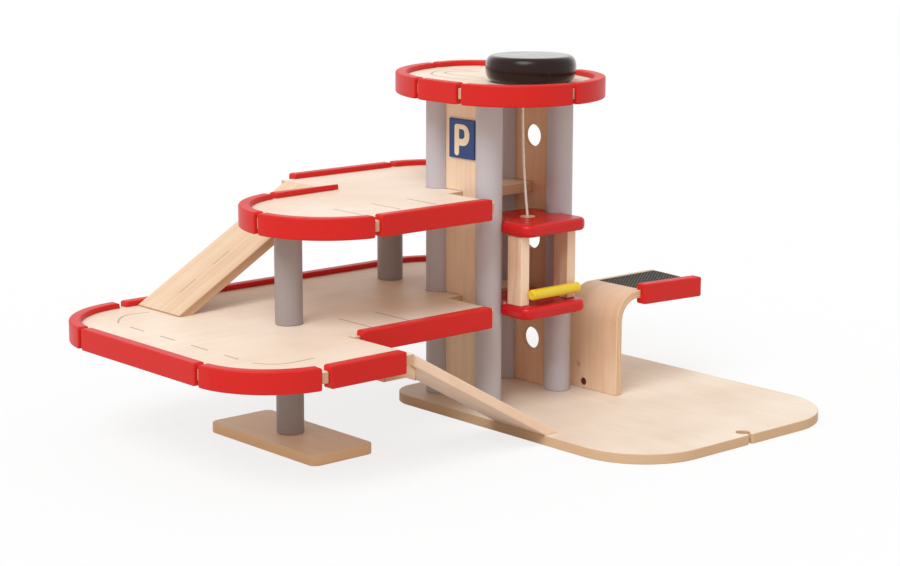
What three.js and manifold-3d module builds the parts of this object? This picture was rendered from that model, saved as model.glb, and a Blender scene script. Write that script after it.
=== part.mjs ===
import * as THREE from 'three';
import Module from 'manifold-3d';
import { mergeVertices } from 'three/addons/utils/BufferGeometryUtils.js';

// Toy parking garage of painted wood and plywood, in millimetres, +Z up.
// Seen from above, left is -X, right is +X, front is -Y and back is +Y.
// While it is built, the axis of the tower's right front post is X = Y = 0.

// Fits
const FIT = 0.3;
const PLAY = 0.8;
const CUT_OVERRUN = 5;

// Boards and storeys
const BOARD = 9.6;
const STOREY = 100.1;
const TOP_STOREY = 103.6;

// Round posts
const POST_RADIUS = 12.5;
const TOWER_LONG = 70.3;
const TOWER_WIDE = 91.4;
const DECK_POST_X = -44;
const DECK_POST_Y = -201;
const LEFT_POST_X = -143.8;
const LEFT_POST_Y = 0;

// Ground board and foot
const BASE_LEFT = -107;
const BASE_RIGHT = 235;
const BASE_UNDER_RAMP = 15.5;
const BASE_BEHIND_BRIDGE = 18.4;
const BASE_CORNER = 70;
const BASE_SMALL_CORNER = 31;
const BASE_SOFT = 0.8;
const BASE_SLOT_DEEP = 17;
const BASE_SLOT_WIDE = 3.4;
const BASE_SLOT_Y = 106.8;
const FOOT_LONG = 156.5;
const FOOT_WIDE = 68.5;
const FOOT_CORNER = 8;

// Decks, measured to the edge of the board inside the rails
const DECK_LEFT = -202.5;
const DECK_BEHIND_TOWER = 23.1;
const DECK_BACK_CORNER = 64.5;
const DECK_TONGUE_RIGHT = -35;
const DECK_RIGHT = 37;
const DECK_SHAFT_EDGE = -20;
const DECK_SHAFT_CORNER = 13;
const LOWER_FRONT = -359;
const LOWER_RIGHT = 118.5;
const LOWER_RAMP_EDGE = -193;
const LOWER_LEFT_CORNER = 77.5;
const LOWER_RIGHT_CORNER = 73;
const LOWER_SLIT_LONG = 6;
const LOWER_SLIT_WIDE = 2.6;
const UPPER_LEFT = -119.5;
const UPPER_FRONT = -234.5;
const UPPER_RAMP_EDGE = -88;
const UPPER_LEFT_CORNER = 84;
const UPPER_RIGHT_CORNER = 71.5;

// Roof, measured like the decks
const ROOF_LEFT = -153.5;
const ROOF_RIGHT = 73.5;
const ROOF_FRONT = -42.5;
const ROOF_BEHIND_TOWER = 32.6;
const ROOF_FRONT_LEFT_CORNER = 122.5;
const ROOF_FRONT_RIGHT_CORNER = 68;
const ROOF_RIGHT_STRAIGHT = 6.5;
const ROOF_LEFT_STRAIGHT = 2.5;

// Red rails
const RAIL_HIGH = 19.8;
const RAIL_THICK = 10.5;
const RAIL_GROOVE = 5;
const RAIL_SOFT = 1.6;
const RAIL_JOINT = 3.4;

// Tower panels and the parking sign
const PANEL = 4;
const PANEL_GROOVE = 5;
const WINDOW_RADIUS = 10.75;
const WINDOW_LOW = 45.4;
const SIGN_HIGH = 37.2;
const SIGN_THICK = 1.5;
const SIGN_LEFT_MARGIN = 6.2;
const SIGN_RIGHT_MARGIN = 3.9;
const SIGN_RISE = 31.4;

// Ramps and the cleats that carry them
const RAMP_WIDE = 67;
const RAMP_RUN = 172.3;
const RAMP_THICK = 9.2;
const RAMP_NOSE = 1.4;
const CLEAT_WIDE = 58.6;
const CLEAT_LONG = 28;
const CLEAT_NOSE = 8;
const CLEAT_THICK = 11.6;

// Bent plywood bridge
const BRIDGE_LEFT = -1.5;
const BRIDGE_WIDE = 60;
const BRIDGE_BEHIND_TOWER = 21.6;
const BRIDGE_LONG = 115;
const BRIDGE_THICK = 7.8;
const BRIDGE_BEND = 28;
const BRIDGE_HOLE_RADIUS = 2.8;
const BRIDGE_HOLE_X = 7.5;
const BRIDGE_HOLE_Z = 32;
const MAT_LONG = 73;
const MAT_WIDE = 45;
const MAT_THICK = 1.3;
const MAT_SUNK = 1;
const MAT_EDGE = 7;
const NUT_RADIUS = 3.5;
const NUT_X = 15;
const NUT_RISE = 6.6;
const BOLT_RADIUS = 1.9;
const BOLT_HEAD_RADIUS = 3.6;
const BOLT_HEAD_HIGH = 2.4;

// Screws that hold the posts from below
const SCREW_RADIUS = 1.9;
const SCREW_HEAD_RADIUS = 4;
const SCREW_CONE = 2.4;
const SCREW_LONG = 27;
const SCREW_TIP = 3;
const SCREW_SUNK = 1;

// Lift
const LIFT_SIDE = 80;
const LIFT_PLATE = 12;
const LIFT_CORNER = 11;
const LIFT_SOFT = 2.4;
const LIFT_CLEAR = 66;
const LIFT_X = 7;
const LIFT_FLOOR_BELOW_DECK = 1.7;
const LIFT_POST_LONG = 19;
const LIFT_POST_THICK = 11;
const LIFT_POST_X = 16;
const LIFT_POST_SOFT = 1.2;
const LIFT_POST_LEFT_INSET = 3.3;
const LIFT_POST_RIGHT_INSET = 5.7;
const PLUG_RADIUS = 9.8;
const PLUG_DEEP = 8;
const CORD_RADIUS = 1.2;

// Barrier rod of the lift
const ROD_RADIUS = 5;
const ROD_LONG = 65;
const ROD_SOFT = 1.2;
const ROD_RISE = 11;
const ROD_PIVOT_INSET = 6.5;
const PIN_RADIUS = 1.5;
const PIN_BITE = 12;
const PIN_REACH = 7;
const PIN_CLEAR = 0.15;

// Winding knob on the roof
const KNOB_RADIUS = 42.5;
const KNOB_TOP_RADIUS = 31;
const KNOB_FOOT_RADIUS = 35.5;
const KNOB_HIGH = 25;
const KNOB_WALL = 7;
const KNOB_LIFT = 1.6;
const DRUM_RADIUS = 4.3;
const AXLE_RADIUS = 1.8;
const AXLE_HEAD_RADIUS = 3.2;
const AXLE_HEAD_HIGH = 2.2;
const AXLE_BITE = 20;
const WINDING_RADIUS = 8.5;
const WINDING_HIGH = 9;
const WINDING_RISE = 2.4;
const FELT_WIDE = 4;
const FELT_THICK = 1;

// Facets
const ARC_STEPS = 10;
const ROUND_SIDES = 32;
const SMALL_SIDES = 16;
const SOFT_STEPS = 1;
const KNOB_SIDES = 40;
const KNOB_ARC_STEPS = 7;
const CORD_SIDES = 8;
const CORD_STEPS = 20;

// Joints between the rails, as shares of the way round each board from its front left corner
const lowerRailShares = [
  ['lower_rail_front_left', 0.9963, 1.0775],
  ['lower_rail_front', 0.0775, 0.1961],
  ['lower_rail_front_right', 0.1961, 0.2703],
  ['lower_rail_right', 0.2703, 0.3283],
  ['lower_rail_inner', 0.3939, 0.4983],
  ['lower_rail_back_left', 0.644, 0.7776],
  ['lower_rail_left', 0.7776, 0.9963],
];
const upperRailShares = [
  ['upper_rail_front_left', 0.0118, 0.1195],
  ['upper_rail_front_right', 0.1195, 0.2238],
  ['upper_rail_right', 0.2238, 0.3494],
  ['upper_rail_back_left', 0.5517, 0.7367],
  ['upper_rail_left', 0.7367, 0.8547],
  ['upper_rail_inner', 0.9368, 1.0118],
];
const roofRailShares = [
  ['roof_rail_front', 0.269, 0.3595],
  ['roof_rail_right', 0.3595, 0.5295],
  ['roof_rail_back', 0.5295, 0.7421],
  ['roof_rail_back_left', 0.7421, 1.0214],
  ['roof_rail_left', 0.0214, 0.269],
];
const bridgeRailShares = [['bridge_rail', 0.219, 0.504]];

// Levels of the running surfaces
const lowerLevel = BOARD + STOREY;
const upperLevel = lowerLevel + STOREY;
const roofLevel = upperLevel + TOP_STOREY;
const liftY = TOWER_WIDE / 2;
const railProud = RAIL_THICK - RAIL_GROOVE;

// Edges that follow the tower's back posts, the bridge and the foot of the lower ramp
const deckBack = TOWER_WIDE + DECK_BEHIND_TOWER;
const roofBack = TOWER_WIDE + ROOF_BEHIND_TOWER;
const roofDepth = roofBack - ROOF_FRONT;
const roofBackRightCorner = roofDepth - ROOF_FRONT_RIGHT_CORNER - ROOF_RIGHT_STRAIGHT;
const roofBackLeftCorner = roofDepth - ROOF_FRONT_LEFT_CORNER - ROOF_LEFT_STRAIGHT;
const bridgeFront = TOWER_WIDE + BRIDGE_BEHIND_TOWER;
const bridgeBack = bridgeFront + BRIDGE_LONG;
const baseBack = bridgeBack + BASE_BEHIND_BRIDGE;
const baseFront = LOWER_RAMP_EDGE + RAMP_RUN - BASE_UNDER_RAMP;

const lowerCorners = [
  [DECK_LEFT, LOWER_FRONT, LOWER_LEFT_CORNER],
  [LOWER_RIGHT, LOWER_FRONT, LOWER_RIGHT_CORNER],
  [LOWER_RIGHT, LOWER_RAMP_EDGE, 0],
  [DECK_RIGHT, LOWER_RAMP_EDGE, 0],
  [DECK_RIGHT, DECK_SHAFT_EDGE, DECK_SHAFT_CORNER],
  [DECK_TONGUE_RIGHT, DECK_SHAFT_EDGE, 0],
  [DECK_TONGUE_RIGHT, deckBack, 0],
  [DECK_LEFT, deckBack, DECK_BACK_CORNER],
];
const upperCorners = [
  [UPPER_LEFT, UPPER_FRONT, UPPER_LEFT_CORNER],
  [DECK_RIGHT, UPPER_FRONT, UPPER_RIGHT_CORNER],
  [DECK_RIGHT, DECK_SHAFT_EDGE, DECK_SHAFT_CORNER],
  [DECK_TONGUE_RIGHT, DECK_SHAFT_EDGE, 0],
  [DECK_TONGUE_RIGHT, deckBack, 0],
  [DECK_LEFT, deckBack, DECK_BACK_CORNER],
  [DECK_LEFT, UPPER_RAMP_EDGE, 0],
  [UPPER_LEFT, UPPER_RAMP_EDGE, 0],
];
const roofCorners = [
  [ROOF_LEFT, ROOF_FRONT, ROOF_FRONT_LEFT_CORNER],
  [ROOF_RIGHT, ROOF_FRONT, ROOF_FRONT_RIGHT_CORNER],
  [ROOF_RIGHT, roofBack, roofBackRightCorner],
  [ROOF_LEFT, roofBack, roofBackLeftCorner],
];
const posts = {
  left_front: [-TOWER_LONG, 0],
  right_front: [0, 0],
  right_back: [0, TOWER_WIDE],
  left_back: [-TOWER_LONG, TOWER_WIDE],
};

const wasm = await Module();
wasm.setup();
const toy = new THREE.Group();

// Corners of a rectangle, counter-clockwise from the front left, all of one radius
function rectangle(left, right, front, back, radius) {
  return [
    [left, front, radius],
    [right, front, radius],
    [right, back, radius],
    [left, back, radius],
  ];
}

// Points of an outline with rounded corners, grown outwards by grow
function outline(corners, grow = 0) {
  const points = [];
  corners.forEach(([x, y, radius], i) => {
    const corner = new THREE.Vector2(x, y);
    const [beforeX, beforeY] = corners.at(i - 1);
    const [afterX, afterY] = corners[(i + 1) % corners.length];
    const arriving = corner.clone().sub(new THREE.Vector2(beforeX, beforeY)).normalize();
    const leaving = new THREE.Vector2(afterX, afterY).sub(corner).normalize();
    const outIn = new THREE.Vector2(arriving.y, -arriving.x);
    const outOn = new THREE.Vector2(leaving.y, -leaving.x);
    if (radius === 0) {
      const mitre = grow / (1 + outIn.dot(outOn));
      points.push(corner.addScaledVector(outIn.clone().add(outOn), mitre));
      return;
    }
    const turn = Math.sign(arriving.cross(leaving));
    const angle = arriving.angleTo(leaving);
    const centre = corner
      .addScaledVector(arriving, -radius * Math.tan(angle / 2))
      .addScaledVector(outIn, -turn * radius);
    const start = Math.atan2(turn * outIn.y, turn * outIn.x);
    for (let step = 0; step <= ARC_STEPS; step++) {
      const bearing = start + (turn * angle * step) / ARC_STEPS;
      const spoke = new THREE.Vector2(Math.cos(bearing), Math.sin(bearing));
      points.push(centre.clone().addScaledVector(spoke, radius + turn * grow));
    }
  });
  return points;
}

// Part of an outline between two shares of its length, grown outwards by grow. Points closer to
// an end than twice the rounding of its edge are left out.
function stretch(corners, fromShare, toShare, grow) {
  const base = outline(corners);
  const grown = outline(corners, grow);
  const count = base.length;
  const reach = [0];
  base.forEach((point, i) => reach.push(reach[i] + point.distanceTo(base[(i + 1) % count])));
  const total = reach[count];
  const trim = RAIL_JOINT / 2;
  const from = fromShare * total + trim;
  const to = toShare * total - trim;
  const clear = 2 * RAIL_SOFT;
  const points = [];
  for (let lap = 0; lap < 2; lap++) {
    for (let i = 0; i < count; i++) {
      const start = lap * total + reach[i];
      const end = lap * total + reach[i + 1];
      const next = grown[(i + 1) % count];
      if (from >= start && from < end) {
        points.push(grown[i].clone().lerp(next, (from - start) / (end - start)));
      }
      if (start > from + clear && start < to - clear) {
        points.push(grown[i].clone());
      }
      if (to > start && to <= end) {
        points.push(grown[i].clone().lerp(next, (to - start) / (end - start)));
      }
    }
  }
  return points;
}

// Flat board of an outline, lying on z, its edges rounded by soft
function slab(points, thick, z, soft = 0) {
  const geometry = new THREE.ExtrudeGeometry(new THREE.Shape(points), {
    depth: thick - 2 * soft,
    bevelEnabled: soft > 0,
    bevelThickness: soft,
    bevelSize: soft,
    bevelOffset: -soft,
    bevelSegments: SOFT_STEPS,
  });
  return geometry.translate(0, 0, z + soft);
}

// Shape drawn in Y and Z, run along X and centred on it
function sideways(shape, wide) {
  const turn = new THREE.Matrix4().makeBasis(
    new THREE.Vector3(0, 1, 0),
    new THREE.Vector3(0, 0, 1),
    new THREE.Vector3(1, 0, 0),
  );
  const geometry = new THREE.ExtrudeGeometry(shape, {
    depth: wide,
    bevelEnabled: false,
    curveSegments: ARC_STEPS,
  });
  return geometry.translate(0, 0, -wide / 2).applyMatrix4(turn);
}

// Shape drawn in X and Z, its front face on y and thick towards the back
function upright(shape, thick, y) {
  const geometry = new THREE.ExtrudeGeometry(shape, {
    depth: thick,
    bevelEnabled: false,
    curveSegments: SMALL_SIDES,
  });
  return geometry.rotateX(Math.PI / 2).translate(0, y + thick, 0);
}

// Upright round bar
function bar(radius, x, y, bottom, top, sides = ROUND_SIDES) {
  const geometry = new THREE.CylinderGeometry(radius, radius, top - bottom, sides);
  return geometry.rotateX(Math.PI / 2).translate(x, y, (bottom + top) / 2);
}

function block(left, right, front, back, bottom, top) {
  const geometry = new THREE.BoxGeometry(right - left, back - front, top - bottom);
  return geometry.translate((left + right) / 2, (front + back) / 2, (bottom + top) / 2);
}

// Turned piece about Z, from points of radius and height that run up its outside
function turned(points, sides) {
  const profile = points.map(([radius, height]) => new THREE.Vector2(radius, height));
  return new THREE.LatheGeometry(profile, sides).rotateX(Math.PI / 2);
}

// Closed solid of a geometry, its shared points merged and its empty faces left out
function solidOf(geometry) {
  const bare = geometry.clone();
  bare.deleteAttribute('normal');
  bare.deleteAttribute('uv');
  const merged = mergeVertices(bare);
  const faces = [];
  for (let i = 0; i < merged.index.count; i += 3) {
    const [a, b, c] = [0, 1, 2].map((k) => merged.index.getX(i + k));
    if (a !== b && b !== c && c !== a) {
      faces.push(a, b, c);
    }
  }
  return new wasm.Manifold(new wasm.Mesh({
    numProp: 3,
    vertProperties: new Float32Array(merged.attributes.position.array),
    triVerts: new Uint32Array(faces),
  }));
}

// Geometry with others joined to it and others cut out of it
function shaped(geometry, { joined = [], cuts = [] } = {}) {
  const joint = joined.reduce((whole, other) => whole.add(solidOf(other)), solidOf(geometry));
  const result = cuts.reduce((whole, other) => whole.subtract(solidOf(other)), joint);
  const mesh = result.getMesh();
  const built = new THREE.BufferGeometry();
  built.setAttribute('position', new THREE.BufferAttribute(new Float32Array(mesh.vertProperties), 3));
  built.setIndex(new THREE.BufferAttribute(new Uint32Array(mesh.triVerts), 1));
  built.computeVertexNormals();
  return built;
}

// Finishes
const paleWood = () => new THREE.MeshStandardMaterial({ color: '#ecd6b8', roughness: 0.55 });
const panelWood = () => new THREE.MeshStandardMaterial({ color: '#e3bf95', roughness: 0.55 });
const redPaint = () => new THREE.MeshStandardMaterial({ color: '#cc241f', roughness: 0.4 });
const greyPaint = () => new THREE.MeshStandardMaterial({ color: '#96939a', roughness: 0.5 });
const blackGloss = () => new THREE.MeshStandardMaterial({ color: '#15151a', roughness: 0.15 });
const yellowPaint = () => new THREE.MeshStandardMaterial({ color: '#f0cf1c', roughness: 0.4 });
const blueSign = () => new THREE.MeshStandardMaterial({ color: '#1d4f9e', roughness: 0.4 });
const steel = () => new THREE.MeshStandardMaterial({ color: '#b8babd', roughness: 0.35, metalness: 1 });
const darkSteel = () => new THREE.MeshStandardMaterial({ color: '#3b2622', roughness: 0.45, metalness: 1 });
const whiteCord = () => new THREE.MeshStandardMaterial({ color: '#efeeea', roughness: 0.8 });
const greyFelt = () => new THREE.MeshStandardMaterial({ color: '#6d6c70', roughness: 0.95 });
const wovenMat = () => new THREE.MeshStandardMaterial({ color: '#34343a', roughness: 0.85 });

function addPiece(name, geometry, material, x = 0, y = 0, z = 0) {
  const mesh = new THREE.Mesh(geometry, material);
  mesh.name = name;
  mesh.position.set(x, y, z);
  toy.add(mesh);
  return mesh;
}

// Countersunk screw standing on its head, grown all over for the hole that takes it
function screw(grow) {
  const shank = SCREW_RADIUS + grow;
  const head = SCREW_HEAD_RADIUS + grow;
  return turned([
    [0, -grow],
    [head, -grow],
    [head, grow],
    [shank, SCREW_CONE + grow],
    [shank, SCREW_LONG - SCREW_TIP + grow],
    [0, SCREW_LONG + grow],
  ], SMALL_SIDES);
}

function screwHole(x, y) {
  const socket = bar(SCREW_HEAD_RADIUS + FIT, x, y, -CUT_OVERRUN, SCREW_SUNK, SMALL_SIDES);
  return shaped(screw(FIT).translate(x, y, SCREW_SUNK), { joined: [socket] });
}

// Ground board, with a slot in its right edge for a strip of road
const baseCorners = [
  [BASE_LEFT, baseFront, BASE_SMALL_CORNER],
  [BASE_RIGHT, baseFront, BASE_CORNER],
  [BASE_RIGHT, baseBack, BASE_CORNER],
  [BASE_LEFT, baseBack, BASE_SMALL_CORNER],
];
const baseSlot = block(
  BASE_RIGHT - BASE_SLOT_DEEP,
  BASE_RIGHT + CUT_OVERRUN,
  BASE_SLOT_Y - BASE_SLOT_WIDE / 2,
  BASE_SLOT_Y + BASE_SLOT_WIDE / 2,
  -CUT_OVERRUN,
  BOARD + CUT_OVERRUN,
);
const nutY = bridgeFront + BRIDGE_THICK / 2;
const nutZ = BOARD + NUT_RISE;
const boltHoles = [
  bar(BOLT_HEAD_RADIUS + FIT, NUT_X, nutY, -CUT_OVERRUN, SCREW_SUNK + BOLT_HEAD_HIGH + FIT, SMALL_SIDES),
  bar(BOLT_RADIUS + FIT, NUT_X, nutY, 0, nutZ + NUT_RADIUS, SMALL_SIDES),
];
addPiece('base_board', shaped(slab(outline(baseCorners), BOARD, 0, BASE_SOFT), {
  cuts: [baseSlot, ...Object.values(posts).map(([x, y]) => screwHole(x, y)), ...boltHoles],
}), paleWood());

// Separate foot under the lower deck
const footY = DECK_POST_Y;
const footCorners = rectangle(
  DECK_POST_X - FOOT_LONG / 2,
  DECK_POST_X + FOOT_LONG / 2,
  footY - FOOT_WIDE / 2,
  footY + FOOT_WIDE / 2,
  FOOT_CORNER,
);
addPiece('foot_board', shaped(slab(outline(footCorners), BOARD, 0, BASE_SOFT), {
  cuts: [screwHole(DECK_POST_X, footY)],
}), panelWood());

// Boards of the two decks and the roof
const postHoles = ['left_front', 'left_back'].map((corner) => {
  const [x, y] = posts[corner];
  return bar(POST_RADIUS + FIT, x, y, 0, roofLevel);
});
const slit = block(
  DECK_RIGHT - LOWER_SLIT_LONG,
  DECK_RIGHT + CUT_OVERRUN,
  LOWER_RAMP_EDGE - LOWER_SLIT_WIDE / 2,
  LOWER_RAMP_EDGE + LOWER_SLIT_WIDE / 2,
  0,
  roofLevel,
);
const axleHole = bar(AXLE_RADIUS + FIT, LIFT_X, liftY, upperLevel, roofLevel + CUT_OVERRUN, SMALL_SIDES);
const cordLane = (DRUM_RADIUS + CORD_RADIUS) / Math.SQRT2;
const cordX = LIFT_X - cordLane;
const cordY = liftY - cordLane;
const cordHole = bar(
  CORD_RADIUS + 2 * FIT,
  cordX,
  cordY,
  upperLevel,
  roofLevel + CUT_OVERRUN,
  SMALL_SIDES,
);
addPiece('lower_deck', shaped(slab(outline(lowerCorners), BOARD, lowerLevel - BOARD), {
  cuts: [...postHoles, slit],
}), paleWood());
addPiece('upper_deck', shaped(slab(outline(upperCorners), BOARD, upperLevel - BOARD), {
  cuts: postHoles,
}), paleWood());
addPiece('roof_board', shaped(slab(outline(roofCorners), BOARD, roofLevel - BOARD), {
  cuts: [axleHole, cordHole],
}), paleWood());

// Grooved red rails round the boards
function addRails(shares, corners, level, board) {
  const middle = level - board / 2;
  const groove = slab(outline(corners, FIT), board + 2 * FIT, level - board - FIT);
  for (const [name, fromShare, toShare] of shares) {
    const outer = stretch(corners, fromShare, toShare, railProud);
    const inner = stretch(corners, fromShare, toShare, -RAIL_GROOVE);
    const strip = slab([...outer, ...inner.reverse()], RAIL_HIGH, middle - RAIL_HIGH / 2, RAIL_SOFT);
    addPiece(name, shaped(strip, { cuts: [groove] }), redPaint());
  }
}
addRails(lowerRailShares, lowerCorners, lowerLevel, BOARD);
addRails(upperRailShares, upperCorners, upperLevel, BOARD);
addRails(roofRailShares, roofCorners, roofLevel, BOARD);

// Plywood panels between the tower's posts, notched round the decks
const roofUnder = roofLevel - BOARD;
const panelLeft = -TOWER_LONG + POST_RADIUS - PANEL_GROOVE;
const panelRight = -POST_RADIUS + PANEL_GROOVE;
const deckNotches = [lowerLevel, upperLevel].map((level) => block(
  -TOWER_LONG,
  DECK_TONGUE_RIGHT + FIT,
  -TOWER_WIDE,
  2 * TOWER_WIDE,
  level - BOARD - FIT,
  level + FIT,
));
function addPanel(name, y, windows) {
  const bottom = BOARD + FIT;
  const shape = new THREE.Shape([
    new THREE.Vector2(panelLeft, bottom),
    new THREE.Vector2(panelRight, bottom),
    new THREE.Vector2(panelRight, roofUnder - FIT),
    new THREE.Vector2(panelLeft, roofUnder - FIT),
  ]);
  for (const z of windows) {
    const hole = new THREE.Path();
    hole.absarc((panelLeft + panelRight) / 2, z, WINDOW_RADIUS, 0, 2 * Math.PI, true);
    shape.holes.push(hole);
  }
  addPiece(name, shaped(upright(shape, PANEL, y - PANEL / 2), { cuts: deckNotches }), panelWood());
}
const windows = [0, 1, 2].map((storey) => BOARD + WINDOW_LOW + storey * STOREY);
addPanel('front_panel', 0, []);
addPanel('back_panel', TOWER_WIDE, windows);

const signLeft = -TOWER_LONG + POST_RADIUS + SIGN_LEFT_MARGIN;
const signRight = -POST_RADIUS - SIGN_RIGHT_MARGIN;
const signBottom = upperLevel + SIGN_RISE;
const signBack = -PANEL / 2 - FIT;
addPiece('parking_sign', block(
  signLeft,
  signRight,
  signBack - SIGN_THICK,
  signBack,
  signBottom,
  signBottom + SIGN_HIGH,
), blueSign());

// Round posts, those of the tower grooved for the panels
const grooves = [0, TOWER_WIDE].map((y) => block(
  panelLeft - FIT,
  panelRight + FIT,
  y - PANEL / 2 - FIT,
  y + PANEL / 2 + FIT,
  0,
  roofLevel,
));
function addPost(name, [x, y], bottom, top, cuts) {
  const post = bar(POST_RADIUS, x, y, bottom + FIT, top - FIT);
  addPiece(name, cuts.length ? shaped(post, { cuts }) : post, greyPaint());
}
for (const [corner, place] of Object.entries(posts)) {
  addPost(`tower_post_${corner}`, place, BOARD, roofUnder, [...grooves, screwHole(...place)]);
}
const deckPost = [DECK_POST_X, DECK_POST_Y];
addPost('foot_post', deckPost, BOARD, lowerLevel - BOARD, [screwHole(...deckPost)]);
addPost('deck_post_front', deckPost, lowerLevel, upperLevel - BOARD, []);
addPost('deck_post_left', [LEFT_POST_X, LEFT_POST_Y], lowerLevel, upperLevel - BOARD, []);
for (const [corner, [x, y]] of Object.entries(posts)) {
  addPiece(`screw_${corner}`, screw(0), steel(), x, y, SCREW_SUNK);
}
addPiece('screw_foot', screw(0), steel(), DECK_POST_X, DECK_POST_Y, SCREW_SUNK);

// Ramps, in a frame whose Y runs down the ramp from the deck's edge and whose Z starts on the
// lower surface, and the cleats under the decks' edges that carry them
const rampSlope = (STOREY - RAMP_NOSE) / RAMP_RUN;
const rampDrop = RAMP_THICK * Math.hypot(1, rampSlope);
const underRamp = (along) => STOREY - rampDrop - rampSlope * along;
function ramp() {
  return sideways(new THREE.Shape([
    new THREE.Vector2(FIT, STOREY - rampSlope * FIT),
    new THREE.Vector2(FIT, underRamp(FIT)),
    new THREE.Vector2((STOREY - rampDrop - FIT) / rampSlope, FIT),
    new THREE.Vector2(RAMP_RUN, FIT),
    new THREE.Vector2(RAMP_RUN, RAMP_NOSE),
  ]), RAMP_WIDE);
}
function cleat() {
  const top = STOREY - BOARD - FIT;
  return sideways(new THREE.Shape([
    new THREE.Vector2(-CLEAT_LONG, top),
    new THREE.Vector2(-CLEAT_LONG, top - CLEAT_THICK),
    new THREE.Vector2(0, top - CLEAT_THICK),
    new THREE.Vector2(CLEAT_NOSE, top - CLEAT_THICK - rampSlope * CLEAT_NOSE),
    new THREE.Vector2(CLEAT_NOSE, underRamp(CLEAT_NOSE) - FIT),
    new THREE.Vector2(FIT, underRamp(FIT) - FIT),
    new THREE.Vector2(0, top),
  ]), CLEAT_WIDE);
}
const lowerRampX = (DECK_RIGHT + LOWER_RIGHT) / 2 + RAIL_GROOVE;
const upperRampX = DECK_LEFT + RAIL_GROOVE + FIT + RAMP_WIDE / 2;
addPiece('lower_ramp', ramp(), panelWood(), lowerRampX, LOWER_RAMP_EDGE, BOARD);
addPiece('lower_cleat', cleat(), panelWood(), lowerRampX, LOWER_RAMP_EDGE, BOARD);
addPiece('upper_ramp', ramp(), panelWood(), upperRampX, UPPER_RAMP_EDGE, lowerLevel).rotation.z = Math.PI;
addPiece('upper_cleat', cleat(), panelWood(), upperRampX, UPPER_RAMP_EDGE, lowerLevel).rotation.z = Math.PI;

// Bridge, bent in one piece, its leg bolted to the ground board
const bridgeX = BRIDGE_LEFT + BRIDGE_WIDE / 2;
const bridgeRight = BRIDGE_LEFT + BRIDGE_WIDE;
const bendY = bridgeFront + BRIDGE_BEND;
const bendZ = lowerLevel - BRIDGE_BEND;
const bridgeShape = new THREE.Shape();
bridgeShape.moveTo(bridgeFront, BOARD + FIT);
bridgeShape.lineTo(bridgeFront + BRIDGE_THICK, BOARD + FIT);
bridgeShape.lineTo(bridgeFront + BRIDGE_THICK, bendZ);
bridgeShape.absarc(bendY, bendZ, BRIDGE_BEND - BRIDGE_THICK, Math.PI, Math.PI / 2, true);
bridgeShape.lineTo(bridgeBack, lowerLevel - BRIDGE_THICK);
bridgeShape.lineTo(bridgeBack, lowerLevel);
bridgeShape.absarc(bendY, bendZ, BRIDGE_BEND, Math.PI / 2, Math.PI, false);
const matRight = bridgeRight - RAIL_GROOVE - MAT_EDGE + FIT;
const matBack = bridgeBack - MAT_EDGE;
const matPlace = (grow, bottom, top) => block(
  matRight - MAT_WIDE - grow,
  matRight + grow,
  matBack - MAT_LONG - grow,
  matBack + grow,
  bottom,
  top,
);
const acrossLeg = (radius, grow, x, z, long) => {
  const geometry = new THREE.CylinderGeometry(radius + grow, radius + grow, long, SMALL_SIDES);
  return geometry.translate(x, nutY, z);
};
addPiece('bridge', shaped(sideways(bridgeShape, BRIDGE_WIDE).translate(bridgeX, 0, 0), {
  cuts: [
    matPlace(FIT, lowerLevel - MAT_SUNK - FIT, lowerLevel + CUT_OVERRUN),
    acrossLeg(BRIDGE_HOLE_RADIUS, 0, BRIDGE_HOLE_X, BRIDGE_HOLE_Z, BRIDGE_THICK + CUT_OVERRUN),
    acrossLeg(NUT_RADIUS, FIT, NUT_X, nutZ, BRIDGE_THICK + CUT_OVERRUN),
    ...boltHoles,
  ],
}), paleWood());
addPiece('bridge_mat', matPlace(0, lowerLevel - MAT_SUNK, lowerLevel - MAT_SUNK + MAT_THICK), wovenMat());
addPiece('bridge_nut', shaped(acrossLeg(NUT_RADIUS, 0, NUT_X, nutZ, BRIDGE_THICK - FIT), {
  cuts: boltHoles,
}), darkSteel());
addPiece('bridge_bolt', turned([
  [0, 0],
  [BOLT_HEAD_RADIUS, 0],
  [BOLT_HEAD_RADIUS, BOLT_HEAD_HIGH],
  [BOLT_RADIUS, BOLT_HEAD_HIGH],
  [BOLT_RADIUS, nutZ + NUT_RADIUS - FIT - SCREW_SUNK],
  [0, nutZ + NUT_RADIUS - FIT - SCREW_SUNK],
], SMALL_SIDES), steel(), NUT_X, nutY, SCREW_SUNK);
const bridgeCorners = rectangle(BRIDGE_LEFT, bridgeRight, bendY, bridgeBack, 0);
addRails(bridgeRailShares, bridgeCorners, lowerLevel, BRIDGE_THICK);

// Lift cage that runs between the tower's right posts, with its floor at the lower deck
const liftFloorTop = lowerLevel - LIFT_FLOOR_BELOW_DECK;
const liftRoofBottom = liftFloorTop + LIFT_CLEAR;
const liftRoofTop = liftRoofBottom + LIFT_PLATE;
const liftRight = LIFT_X + LIFT_SIDE / 2;
const liftFront = liftY - LIFT_SIDE / 2;
const liftBack = liftY + LIFT_SIDE / 2;
const liftOutline = outline(rectangle(LIFT_X - LIFT_SIDE / 2, liftRight, liftFront, liftBack, LIFT_CORNER));
const liftLanes = ['right_front', 'right_back'].map((corner) => {
  const [x, y] = posts[corner];
  return bar(POST_RADIUS + PLAY, x, y, 0, roofLevel);
});
const plugHole = bar(PLUG_RADIUS + FIT, LIFT_X, liftY, liftRoofTop - PLUG_DEEP, liftRoofTop + CUT_OVERRUN);
addPiece('lift_floor', shaped(slab(liftOutline, LIFT_PLATE, liftFloorTop - LIFT_PLATE, LIFT_SOFT), {
  cuts: liftLanes,
}), redPaint());
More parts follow.
